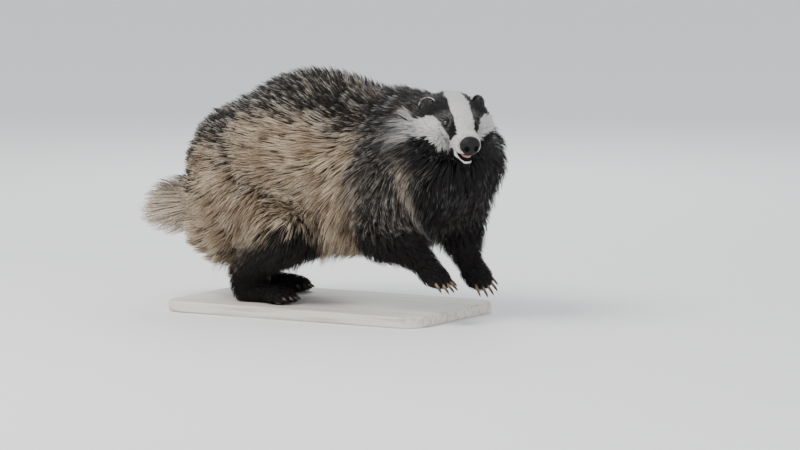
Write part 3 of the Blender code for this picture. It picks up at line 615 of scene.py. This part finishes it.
def dye_and_painted_shade(mesh, colours):
    """Stores a colour for each corner of the mesh, its dye and any painted shade, which the coat's finish
    reads.
    """
    layer = mesh.color_attributes.new("dye_and_painted_shade", "FLOAT_COLOR", "POINT")
    full = np.ones((len(mesh.vertices), 4), np.float32)
    full[:, :3] = colours
    layer.data.foreach_set("color", full.ravel())


def take_dye_and_shade(tree, shader, noise, share):
    """Gives the shader the mesh's own colours, dye and any painted shade, made lighter and darker by this
    share of a noise.
    """
    dyed_and_shaded = node(tree, "ShaderNodeAttribute", attribute_name="dye_and_painted_shade").outputs["Color"]
    speckled = mixed(tree, share, dyed_and_shaded, mixed(tree, noise, BLACK, WHITE), "SOFT_LIGHT")
    tree.links.new(speckled, shader.inputs["Base Color"])


def cover(mesh, finish):
    """Gives the mesh this one material, and smooth faces."""
    mesh.materials.clear()
    mesh.materials.append(finish)
    mesh.shade_smooth()


hide_finish, tree, shader = finish_named("hide_dye_and_painted_shade", BLACK, 0.8)
place = node(tree, "ShaderNodeTexCoord").outputs["Object"]
fine = grain(tree, place, 900.0, detail=2.0)
take_dye_and_shade(tree, shader, fine, 0.35)
shader.inputs["Specular IOR Level"].default_value = 0.2
relief(tree, shader, fine, 0.0006, 0.6)


def bare(points):
    """Where no hair grows: the mouth, the lids, the nose pad and the pads of the feet."""
    x, y, z = to_head(points)
    palate = (x > 50.0) & (x < 102.0) & (np.abs(y) < 10.0) & (z < -44.0) & (z > -51.0)
    mouth_in_shade = palate | (np.minimum(mouth[0].distance(points), jaw_hollow[0].distance(points)) < 0.6)
    eyes = np.min([lid.distance(points) for lid in lids], axis=0) < 1.8
    nose = np.min([part.distance(points) for part in nose_pad], axis=0) < 0.8
    soles = np.min([pad.distance(points) for pad in pads], axis=0) < 1.0
    return mouth_in_shade, eyes | nose | soles


hide = skin.data
spots = corners_of(hide) / MM
kinds = coat_over(flesh, spots)[2]
slope = slope_over(flesh, spots)
dull = np.random.default_rng(HIDE_SEED)
colours = coat_colours(spots, slope, kinds, dull.random(len(spots)), dull)
# On the body the skin takes half of the tufts' root colour, which is painted shade already: painted shade
# under the coat. On the face it takes the hair's own middle colour.
on_face = kinds[:, FACE_FUR, None]
colours = colours[:, 0] * 0.5 * (1.0 - on_face) + colours[:, 1] * on_face
mouth_in_shade, rims = bare(spots)
# The mouth's lining gets its red darkened to near black, as painted shade inside the mouth.
colours[rims], colours[mouth_in_shade] = BLACK, MOUTH_SHADE_RED
dye_and_painted_shade(hide, colours)
cover(hide, hide_finish)


def unwrap_skin(thing):
    """Lays the skin out flat in its own map."""
    for other in bpy.context.selected_objects:
        other.select_set(False)
    bpy.context.view_layer.objects.active = thing
    thing.select_set(True)
    thing.data.uv_layers.new(name="OFBake")
    bpy.ops.object.mode_set(mode="EDIT")
    bpy.ops.mesh.select_all(action="SELECT")
    bpy.ops.uv.smart_project(angle_limit=math.radians(66.0), island_margin=0.002)
    bpy.ops.object.mode_set(mode="OBJECT")
    return thing.data


hide = unwrap_skin(skin)

# The coat
# Tufts of guard hair, each flat, tapering and closed. They grow from points spread over the hide, rise to the
# coat's outline, follow the body round along the lie and draw together in locks towards their tips.
LONG_TUFTS, SHORT_TUFTS, EAR_TUFTS, WHISKERS, IN_A_LOCK = 63000, 41000, 2400, 20, 6
LONG_SHARES, SHORT_SHARES = np.array((0.0, 0.36, 0.72, 1.0)), np.array((0.0, 0.5, 1.0))
coat_finish, tree, shader = finish_named("guard_hair", BLACK, 0.62)
dyed_and_shaded = node(tree, "ShaderNodeAttribute", attribute_name="dye_and_painted_shade").outputs["Color"]
place = node(tree, "ShaderNodeTexCoord").outputs["Object"]
mottle = grain(tree, place, 420.0, detail=2.0)
streaked = mixed(tree, mottle, (0.72, 0.72, 0.72), (1.2, 1.2, 1.2))
tree.links.new(mixed(tree, 1.0, dyed_and_shaded, streaked, "MULTIPLY"), shader.inputs["Base Color"])
shader.inputs["Specular IOR Level"].default_value = 0.2


def plant(surface, count, chance, keep):
    """Random places on the hide, as dense as keep says: the points and their places on its unwrap."""
    surface.calc_loop_triangles()
    sides = np.empty(len(surface.loop_triangles) * 3, int)
    loops = sides.copy()
    surface.loop_triangles.foreach_get("vertices", sides)
    surface.loop_triangles.foreach_get("loops", loops)
    corners = (corners_of(surface) / MM)[sides.reshape(-1, 3)]
    unwrap = np.empty(len(surface.loops) * 2)
    surface.uv_layers["OFBake"].data.foreach_get("uv", unwrap)
    unwrap = unwrap.reshape(-1, 2)[loops.reshape(-1, 3)]
    first, second, third = corners.transpose(1, 0, 2)
    centres = corners.mean(axis=1)
    areas = np.linalg.norm(np.cross(second - first, third - first), axis=1)
    areas = areas * keep(centres) * ~np.any(bare(centres), axis=0)
    picked = chance.choice(len(corners), count, p=areas / areas.sum())
    a, b = np.sqrt(chance.random(count)), chance.random(count)
    shares = np.stack([1.0 - a, a * (1.0 - b), a * b], axis=1)[:, :, None]
    return (corners[picked] * shares).sum(axis=1), (unwrap[picked] * shares).sum(axis=1)


def locks_among(roots, chance):
    """The number of the tuft that leads each tuft's lock: the nearest of one in so many."""
    leads = chance.choice(len(roots), len(roots) // IN_A_LOCK, replace=False)
    near = KDTree(len(leads))
    for number, lead in enumerate(leads):
        near.insert(roots[lead], number)
    near.balance()
    return leads[[near.find(root)[1] for root in roots]]


def comb(flesh, roots, rise, length, lead, shares, pull, spread, chance):
    """The tufts' middle lines, with the sideways and outward ways at each station. A tuft leaves the hide
    at an angle, bends to the lie at its own height and leans towards the one that leads its lock."""
    swing = np.stack([drift(roots, 24.0, which) for which in range(3)], axis=1) * 0.09
    swing += chance.normal(size=roots.shape) * spread
    lift = np.arcsin(np.clip(rise / length, 0.12, 0.9))
    at, heading, stations, sideways, lifts = roots.astype(np.float32), None, [], [], []
    for number, share in enumerate(shares):
        slope = slope_over(flesh, at)
        out = slope / (np.linalg.norm(slope, axis=1)[:, None] + 1e-9)
        if number:
            height = height_over(flesh, at)
            held = np.clip(height, 0.45 * rise * share, rise * share**0.6)
            at = at + np.clip(held - height, -14.0, 14.0)[:, None] * out
        way = coat_over(flesh, at)[1]
        stands = np.maximum((way * out).sum(axis=1), 0.0)[:, None] * 0.25
        way = way + swing
        way = way - (way * out).sum(axis=1)[:, None] * out
        way = way / (np.linalg.norm(way, axis=1)[:, None] + 1e-9) + stands * out
        way /= np.linalg.norm(way, axis=1)[:, None]
        raised = np.minimum(lift * (1.4 - share), 1.2)[:, None]
        aimed = way * np.cos(raised) + out * np.sin(raised)
        heading = aimed if heading is None else heading + aimed
        heading = heading / np.linalg.norm(heading, axis=1)[:, None]
        side = np.cross(out, heading)
        side /= np.linalg.norm(side, axis=1)[:, None] + 1e-9
        stations.append(at)
        sideways.append(side)
        lifts.append(np.cross(heading, side))
        if number < len(shares) - 1:
            at = at + heading * (length * (shares[number + 1] - share))[:, None]
    lines = np.stack(stations, axis=1)
    apart = lines[lead] - lines
    pulls = pull * shares**1.3
    lines = lines + apart * pulls[None, :, None] * chance.uniform(0.7, 1.15, len(roots))[:, None, None]
    return lines, np.stack(sideways, axis=1), np.stack(lifts, axis=1)


def tufts_of(name, lines, sideways, lifts, width, colours, unwrap, slot):
    """One mesh of closed tufts, three-sided up to a point."""
    count, rings = len(lines), lines.shape[1] - 1
    taper = np.array((0.75, 1.0, 0.62) if rings == 3 else (0.85, 0.85))[None, :, None]
    wide = sideways[:, :-1] * width[:, None, None] * taper
    thick = lifts[:, :-1] * width[:, None, None] * taper * 0.55
    middle = lines[:, :-1]
    ring = np.stack([middle + wide, middle + thick, middle - wide], axis=2).reshape(count, rings * 3, 3)
    points = np.concatenate([ring, lines[:, -1:]], axis=1)
    faces = [(0, 2, 1)]
    for level in range(rings - 1):
        for side in range(3):
            a, b = level * 3 + side, level * 3 + (side + 1) % 3
            faces += [(a, b, b + 3), (a, b + 3, a + 3)]
    last = (rings - 1) * 3
    faces += [(last + side, last + (side + 1) % 3, rings * 3) for side in range(3)]
    faces = np.array(faces)
    each = rings * 3 + 1
    every = (faces[None] + (np.arange(count) * each)[:, None, None]).reshape(-1, 3)
    mesh = bpy.data.meshes.new(name)
    mesh.vertices.add(count * each)
    mesh.loops.add(len(every) * 3)
    mesh.polygons.add(len(every))
    mesh.vertices.foreach_set("co", (points.reshape(-1, 3) * MM + (0.0, 0.0, SOLES)).ravel())
    mesh.loops.foreach_set("vertex_index", every.ravel())
    mesh.polygons.foreach_set("loop_start", np.arange(len(every)) * 3)
    mesh.update(calc_edges=True)
    dye_and_painted_shade(mesh, np.concatenate([colours[:, :-1].repeat(3, axis=1), colours[:, -1:]], axis=1).reshape(-1, 3))
    layer = mesh.uv_layers.new(name="OFBake")
    level = np.append(np.arange(rings).repeat(3), rings) / rings
    round_by = np.append(np.tile((-0.5, 0.0, 0.5), rings), 0.0)
    patch = np.stack([round_by, level - 0.5], axis=1) * 0.003
    spots = (unwrap[:, None] + patch[None]).reshape(-1, 2)
    layer.data.foreach_set("uv", spots[every.ravel()].ravel())
    cover(mesh, coat_finish)
    thing = bpy.data.objects.new(name, mesh)
    bpy.context.scene.collection.objects.link(thing)
    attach(thing, "root")
    return thing


def long_coat(centres):
    return soft_step(coat_over(flesh, centres)[0], 9.0, 15.0)


chance = np.random.default_rng(COAT_SEED)
roots, unwrap = plant(hide, LONG_TUFTS, chance, long_coat)
depth, _, kinds = coat_over(flesh, roots)
lead = locks_among(roots, chance)
luck, vigour = chance.random(len(roots)), chance.random(len(roots))
luck, vigour = 0.5 * luck[lead] + 0.5 * luck, 0.6 * vigour[lead] + 0.4 * vigour
slope = slope_over(flesh, roots)
bristle = soft_step(slope[:, 2], 0.0, 0.8) * (1.0 - soft_step(roots[:, 0], 120.0, 190.0))
brush = soft_step(kinds[:, TAIL_FUR], 0.3, 0.7)
fringe = soft_step(-slope[:, 2], 0.1, 0.6) * (1.0 - soft_step(roots[:, 0], 190.0, 205.0))
behind = soft_step(kinds[:, BLACK_FUR], 0.3, 0.6) * (1.0 - soft_step(roots[:, 0], 60.0, 90.0))
fringe = np.maximum(fringe, 0.8 * behind)
head_x, _, head_z = to_head(roots)
cheek = (kinds[:, FACE_FUR] > 0.4) * soft_step(head_x, -15.0, 15.0) * soft_step(-head_z, 20.0, 36.0)
rise = depth * (0.7 + 0.45 * vigour) * (1.0 + 0.3 * brush + 0.6 * fringe)
length = depth * (1.75 - 0.55 * bristle + 0.9 * brush + 0.7 * fringe) * (0.8 + 0.4 * vigour)
length *= 1.0 - 0.5 * cheek
lines, sideways, lifts = comb(flesh, roots, rise, length, lead, LONG_SHARES, 0.48, 0.09, chance)
colours = coat_colours(roots, slope, kinds, luck, chance)
width = chance.uniform(0.5, 1.05, len(roots)) * (depth / BACK_COAT)**0.4

REGION_STARTS = {"rump": -999, "back": -110, "ribs": -15, "shoulder": 75, "neck": 150}
region_ends = [*REGION_STARTS.values()][1:] + [999]


def grow(name, chosen, slot):
    """The tufts that are chosen of those last combed, as one piece."""
    parts = (lines, sideways, lifts, width, colours, unwrap)
    tufts_of(name, *(part[chosen] for part in parts), slot)


x, y, _ = roots.T
is_tail = kinds[:, TAIL_FUR] > 0.5
is_leg = (kinds[:, BLACK_FUR] > 0.5) & ~is_tail
grow("coat_tail", is_tail, "tail_coat")
for word, side in (("left", y > 0.0), ("right", y <= 0.0)):
    grow(f"coat_hindleg_{word}", is_leg & side & (x < 40), "black_coat")
    grow(f"coat_foreleg_and_chest_{word}", is_leg & side & (x >= 40), "black_coat")
    body = ~is_leg & ~is_tail & side
    for (region, low), high in zip(REGION_STARTS.items(), region_ends):
        grow(f"coat_{region}_{word}", body & (x >= low) & (x < high), "grizzled_coat")

# The short coat of the face, feet and shanks
# Fine flat hair, 4 to 10 mm long on the face and longer on the legs, that follows the form of the skull and
# the toes and thins out to nothing at the lids and the lower lip, and a few long whiskers.


def on_muzzle(centres):
    x, y, z = to_head(centres)
    return ((x > 80) & (x < 97) & (np.abs(y) > 10) & (z > -45) & (z < -28)).astype(float)


def short_coat(centres):
    furry = jaw_hollow[0].distance(centres) > 4.5
    face = coat_over(flesh, centres)[2][:, FACE_FUR] > 0.5
    return furry * (1.0 - long_coat(centres)) * (0.6 + 2.0 * face)


roots, unwrap = plant(hide, SHORT_TUFTS, chance, short_coat)
depth, _, kinds = coat_over(flesh + jaw, roots)
on_leg = 1.0 - kinds[:, FACE_FUR]
rise = np.maximum(depth, 2.2) * chance.uniform(0.7, 1.3, len(roots)) * (1.0 + 0.25 * on_leg)
length = (4.0 + depth * (1.3 + 0.9 * on_leg)) * chance.uniform(0.8, 1.2, len(roots))
from_eye = np.min([lid.distance(roots) for lid in lids], axis=0)
length *= np.interp(from_eye, (1.0, 12.0), (0.3, 1.0))
length *= np.interp(jaw_hollow[0].distance(roots), (4.0, 12.0), (0.35, 1.0))
lead = locks_among(roots, chance)
lines, sideways, lifts = comb(flesh, roots, rise, length, lead, SHORT_SHARES, 0.4, 0.12, chance)
luck = chance.random(len(roots))
colours = coat_colours(roots, lifts[:, 0], kinds, luck, chance)[:, (0, 2, 3)]
width = chance.uniform(0.32, 0.6, len(roots))
is_face = kinds[:, FACE_FUR] > 0.5
on_left = to_head(roots)[1] > 0.0
grow("coat_face_left", is_face & on_left, "face_coat")
grow("coat_face_right", is_face & ~on_left, "face_coat")
grow("coat_feet_left", ~is_face & (roots[:, 1] > 0.0), "black_coat")
grow("coat_feet_right", ~is_face & (roots[:, 1] <= 0.0), "black_coat")


def set_in(thing, slot, *nodes):
    """Lifts a piece onto the base, and puts it in place of these pieces of the model."""
    thing.data.vertices.foreach_set("co", (corners_of(thing.data) + (0.0, 0.0, SOLES)).ravel())
    thing.data.update()
    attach(thing, "root")
    if nodes:
        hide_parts(*nodes)


whisker_roots, unwrap = plant(hide, WHISKERS, chance, on_muzzle)
out = slope_over(flesh, whisker_roots)
aim = out + 0.75 * (HEAD_FRAME @ (-1.0, 0.0, -0.25)) + chance.normal(size=out.shape) * 0.12
aim /= np.linalg.norm(aim, axis=1)[:, None]
reach = chance.uniform(18.0, 30.0, (len(aim), 1, 1)) * LONG_SHARES[None, :, None]
lines = whisker_roots[:, None] + aim[:, None] * reach - np.array((0.0, 0.0, 0.008)) * reach**2
side = np.cross(aim, (0.0, 0.0, 1.0))[:, None].repeat(4, axis=1)
sooty = np.full((len(aim), 4, 3), BLACK)
thin = np.full(len(aim), 0.22)
tufts_of("whiskers", lines, side, np.cross(side, aim[:, None]), thin, sooty, unwrap, "black_coat")

FLESH_NODES = ["torso", "neck", "head", "jaw", "tail"]
LIMB_NODES = ("upper_arm", "forearm", "forepaw", "thigh", "shank", "hindfoot")
FLESH_NODES += [f"{part}_{word}" for word in SIDES for part in LIMB_NODES]
set_in(skin, "grizzled_coat", *FLESH_NODES)

# The ears
# Small round cups of skin-covered gristle, black with a white edge of longer hair, and with loose dark hair
# in the hollow.
EAR_AT, EAR_RADII = np.array((-8.0, 39.0, -7.0)), np.array((5.0, 13.5, 14.5))
for word, side in SIDES.items():
    turn = turned(28.0 * side, -16.0, -16.0 * side)
    centre = EAR_AT * (1, side, 1)
    flap = on_head(Oval(centre, EAR_RADII, FACE_COAT, (-0.5, 0.0, 1.0), 4, FACE_FUR, turn))
    cup = on_head(Oval(centre + turn @ (6.0, 0.0, 2.0), EAR_RADII * (0.95, 0.76, 0.78), turn=turn))
    ear = unwrap_skin(sink(surface_of(f"ear_skin_{word}", flap, 0.9), *cup))

    def edge_of(points):
        """How near the flap's edge each point is, 1 at the edge, how high it is and how far forward."""
        local = (points - flap[0].centre) @ flap[0].turn
        return np.hypot(local[:, 1] / EAR_RADII[1], local[:, 2] / EAR_RADII[2]), local[:, 2], local[:, 0]

    def outside(points):
        return (flap[0].distance(points) > -0.25) * 1.0

    def inside(points):
        return (cup[0].distance(points) < 0.5) * (flap[0].distance(points) < -1.0)

    roots, unwrap = plant(ear, EAR_TUFTS, chance, outside)
    near_edge, high, forward = edge_of(roots)
    white = soft_step(near_edge, 0.86, 0.95) * soft_step(high, 1.0, 5.0) * (forward < 2.2)
    rise, length = np.full(len(roots), 2.0), chance.uniform(4.0, 6.0, len(roots))
    lead = locks_among(roots, chance)
    lines, sideways, lifts = comb(flap, roots, rise, length, lead, SHORT_SHARES, 0.3, 0.12, chance)
    colours = mix_of(BLACK, WHITE, white)[:, None].repeat(3, axis=1)
    width = chance.uniform(0.3, 0.5, len(roots))
    tufts_of(f"coat_ear_{word}", lines, sideways, lifts, width, colours, unwrap, "black_coat")
    roots, unwrap = plant(ear, EAR_TUFTS // 3, chance, inside)
    aim = HEAD_FRAME @ turn @ (1.0, 0.0, 0.7) + chance.normal(size=roots.shape) * 0.25
    lines = roots[:, None] + aim[:, None] * (SHORT_SHARES * 6.5)[None, :, None]
    sideways = np.cross(aim, (0.0, 0.0, 1.0))[:, None].repeat(3, axis=1)
    colours = mix_of(BLACK, SMOKE, chance.random(len(roots)))[:, None].repeat(3, axis=1)
    width = chance.uniform(0.3, 0.5, len(roots))
    lifts = np.cross(sideways, aim[:, None])
    tufts_of(f"coat_ear_cup_{word}", lines, sideways, lifts, width, colours, unwrap, "black_coat")
    dye_and_painted_shade(ear, np.broadcast_to(BLACK, (len(ear.vertices), 3)))
    ear.materials.append(hide_finish)
    ear.shade_smooth()
    set_in(bpy.data.objects[f"ear_skin_{word}"], "black_coat", f"ear_{word}")

# The eyes
# Glass eyes, 11 mm across and almost black with faint brown flecks, set behind the lids.
eye_finish, tree, shader = finish_named("eye_glass", (0.012, 0.008, 0.006), 0.06)
place = node(tree, "ShaderNodeTexCoord").outputs["Object"]
flecks = grain(tree, place, 700.0, detail=4.0)
tree.links.new(mixed(tree, flecks, (0.003, 0.002, 0.002), (0.014, 0.007, 0.005)), shader.inputs["Base Color"])
shader.inputs["Coat Weight"].default_value = 1.0
shader.inputs["Coat Roughness"].default_value = 0.03
for word, centre in EYES.items():
    work = bmesh.new()
    middle = Vector((HEAD_FRAME @ centre + HEAD_AT) * MM)
    place_at = Matrix.Translation(middle)
    bmesh.ops.create_uvsphere(work, u_segments=36, v_segments=24, radius=EYE_RADIUS * MM, matrix=place_at)
    eye = object_from(f"glass_eye_{word}", work)
    cover(eye.data, eye_finish)
    set_in(eye, "eye", f"eye_{word}")

# The nose
# A bare pebbled pad, nearly black, 32 mm wide, with two nostrils that open sideways into slits.
nose_finish, tree, shader = finish_named("nose_leather", (0.012, 0.011, 0.012), 0.46)
place = node(tree, "ShaderNodeTexCoord").outputs["Object"]
pebbles = node(tree, "ShaderNodeTexVoronoi", {"Vector": place, "Scale": 850.0}).outputs["Distance"]
tone = grain(tree, place, 160.0)
tree.links.new(mixed(tree, tone, (0.003, 0.003, 0.004), (0.014, 0.012, 0.013)), shader.inputs["Base Color"])
shader.inputs["Specular IOR Level"].default_value = 0.2
relief(tree, shader, pebbles, 0.0005, 0.55)
nose = surface_of("nose_leather", nose_pad, 0.7)
for side in SIDES.values():
    nostril = Oval((117, 7.4 * side, -33.0), (7.0, 4.0, 4.6))
    slit = Limb((114.5, 9.5 * side, -34.5), (107, 16.0 * side, -35.5), 1.4, 1.0)
    sink(nose, *on_head(nostril, slit), voxel=0.6)
sink(nose, *on_head(Limb((119.5, 0, -38), (112, 0, -47), 0.9, 0.9)), voxel=0.4)
cover(nose.data, nose_finish)
set_in(nose, "nose_skin", "nose")

# The tongue
# Painted wax, lying in the lower jaw with a shallow groove along its middle.
tongue_finish, tree, shader = finish_named("tongue_wax", (0.60, 0.24, 0.23), 0.3)
place = node(tree, "ShaderNodeTexCoord").outputs["Object"]
dots = grain(tree, place, 1100.0, detail=2.0)
tree.links.new(mixed(tree, dots, (0.50, 0.17, 0.17), (0.70, 0.33, 0.31)), shader.inputs["Base Color"])
relief(tree, shader, dots, 0.0004, 0.5)
tongue = surface_of("tongue_wax", on_head(Oval((84, 0, -53), (14, 7.5, 3.0))), 0.8)
sink(tongue, *on_head(Limb((70, 0, -49.4), (98, 0, -50.6), 0.9, 0.7)), voxel=0.5)
cover(tongue.data, tongue_finish)
set_in(tongue, "mouth_skin", "tongue")

# The pads
# Bare brown skin under the palms and toes.
pad_finish, tree, shader = finish_named("pad_leather", (0.10, 0.06, 0.045), 0.6)
place = node(tree, "ShaderNodeTexCoord").outputs["Object"]
creases = node(tree, "ShaderNodeTexVoronoi", {"Vector": place, "Scale": 600.0}).outputs["Distance"]
patches = grain(tree, place, 90.0)
tree.links.new(mixed(tree, patches, (0.05, 0.032, 0.026), (0.20, 0.12, 0.09)), shader.inputs["Base Color"])
relief(tree, shader, creases, 0.0005, 0.5)
foot_pads = surface_of("foot_pads", pads, 1.1)
cover(foot_pads.data, pad_finish)
set_in(foot_pads, "nose_skin")

# The claws
# Horn, long and blunt on the forefeet for digging and shorter behind, brown with darker tips.
FORE_CLAW, HIND_CLAW, CLAW_RADIUS = 22.0, 13.0, 2.9
CLAW_RINGS, CLAW_SIDES = 11, 12
CLAW_ROOT, CLAW_TIP = (0.23, 0.155, 0.10), (0.03, 0.022, 0.019)
horn_finish, tree, shader = finish_named("claw_horn", (0.12, 0.08, 0.055), 0.38)
place = node(tree, "ShaderNodeTexCoord").outputs["Object"]
streaks = grain(tree, place, 500.0)
take_dye_and_shade(tree, shader, streaks, 0.5)
relief(tree, shader, streaks, 0.0002, 0.4)


def build_claw(foot, number, root, tip):
    """A claw along a short arc out of the toe's end, round in section and blunt."""
    leg, turn = FEET[foot]
    length, drop = (FORE_CLAW, 0.26) if foot.startswith("fore") else (HIND_CLAW, 0.3)
    heading = np.array(tip) - np.array(root)
    heading[2] = 0.0
    heading /= np.linalg.norm(heading)
    shares = np.linspace(0.0, 1.0, CLAW_RINGS)
    way = heading * length * (shares[:, None] + 0.1)
    at = np.array(tip) + way - np.outer(drop * length * shares**2 - 2.0, (0.0, 0.0, 1.0))
    at = at @ turn.T + np.array(LEGS[leg][2], float)
    radii = CLAW_RADIUS * (1.0 - 0.5 * shares**1.5) * np.sqrt(1.0 - 0.97 * shares**9)
    ring = np.linspace(0.0, 2.0 * math.pi, CLAW_SIDES, endpoint=False)
    across = np.cross(turn @ heading, turn @ (0.0, 0.0, 1.0))
    upward = np.cross(np.gradient(at, axis=0), across)
    upward /= np.linalg.norm(upward, axis=1)[:, None]
    spokes = np.cos(ring)[None, :, None] * across * 0.8 - np.sin(ring)[None, :, None] * upward[:, None]
    points = (at[:, None] + spokes * radii[:, None, None]).reshape(-1, 3)
    last = CLAW_SIDES * (CLAW_RINGS - 1)
    faces = [list(range(CLAW_SIDES))[::-1], list(range(last, last + CLAW_SIDES))]
    for low in range(0, last, CLAW_SIDES):
        for corner in range(CLAW_SIDES):
            after = (corner + 1) % CLAW_SIDES
            faces.append([low + corner, low + after, low + CLAW_SIDES + after, low + CLAW_SIDES + corner])
    mesh = bpy.data.meshes.new(f"horn_{foot}_{number}")
    mesh.from_pydata(list(points * MM), [], faces)
    work = bmesh.new()
    work.from_mesh(mesh)
    bmesh.ops.recalc_face_normals(work, faces=work.faces[:])
    work.to_mesh(mesh)
    work.free()
    darker = soft_step(shares, 0.2, 0.85)
    dye_and_painted_shade(mesh, mix_of(CLAW_ROOT, CLAW_TIP, darker).repeat(CLAW_SIDES, axis=0))
    cover(mesh, horn_finish)
    thing = bpy.data.objects.new(mesh.name, mesh)
    bpy.context.scene.collection.objects.link(thing)
    set_in(thing, "claw_horn", f"claw_{foot}_{number}")


for foot in FEET:
    for number, (root, tip) in enumerate(toe_ends(foot), 1):
        build_claw(foot, number, root, tip)

# The studio
# A pale floor, one wide soft light overhead to the left, a fill from the right and an even pale world. The
# camera stands where the photo's did, and AIM_RIGHT and AIM_UP shift its middle from the badger's.
FRAME_WIDE, STAND_OFF, TURN, LIFT = 1.28, 7.11, math.radians(30.0), math.radians(6.0)
AIM_RIGHT, AIM_UP, SENSOR = 0.112, 0.120, 36.0
floor_work = bmesh.new()
bmesh.ops.create_grid(floor_work, x_segments=2, y_segments=2, size=16.0)
floor = object_from("floor", floor_work)
floor_finish, tree, shader = finish_named("floor_paper", (0.86, 0.86, 0.85), 0.9)
floor.data.materials.append(floor_finish)
floor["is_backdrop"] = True


def studio_light(name, at, size, power, colour):
    lamp = bpy.data.lights.new(name, "AREA")
    lamp.shape, lamp.size, lamp.energy, lamp.color = "DISK", size, power, colour
    thing = bpy.data.objects.new(name, lamp)
    thing.location = at
    thing.rotation_euler = (Vector((0.0, 0.0, 0.2)) - Vector(at)).to_track_quat("-Z", "Y").to_euler()
    bpy.context.scene.collection.objects.link(thing)


studio_light("key", (-0.6, -1.9, 2.6), 1.6, 85.0, (1.0, 0.97, 0.93))
studio_light("fill", (2.6, -1.6, 1.0), 1.6, 16.0, (0.93, 0.96, 1.0))
studio_light("rim", (-1.2, 2.4, 1.9), 1.4, 30.0, (0.95, 0.97, 1.0))
world = bpy.data.worlds.new("studio")
world.use_nodes = True
world.node_tree.nodes["Background"].inputs["Color"].default_value = (0.90, 0.93, 0.97, 1.0)
world.node_tree.nodes["Background"].inputs["Strength"].default_value = 1.05
bpy.context.scene.world = world

right = Vector((math.cos(TURN), math.sin(TURN), 0.0))
back = Vector((math.sin(TURN) * math.cos(LIFT), -math.cos(TURN) * math.cos(LIFT), math.sin(LIFT)))
aim = right * AIM_RIGHT + back.cross(right) * AIM_UP + Vector((0.0, 0.0, SOLES))
camera = bpy.data.objects.new("camera", bpy.data.cameras.new("camera"))
bpy.context.scene.collection.objects.link(camera)
camera.data.lens, camera.data.sensor_width = SENSOR * STAND_OFF / FRAME_WIDE, SENSOR
camera.location = aim + back * STAND_OFF
camera.rotation_euler = back.to_track_quat("Z", "Y").to_euler()
bpy.context.scene.camera = camera

[[list(corner) for corner in box] for box in (cad_box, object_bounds())]
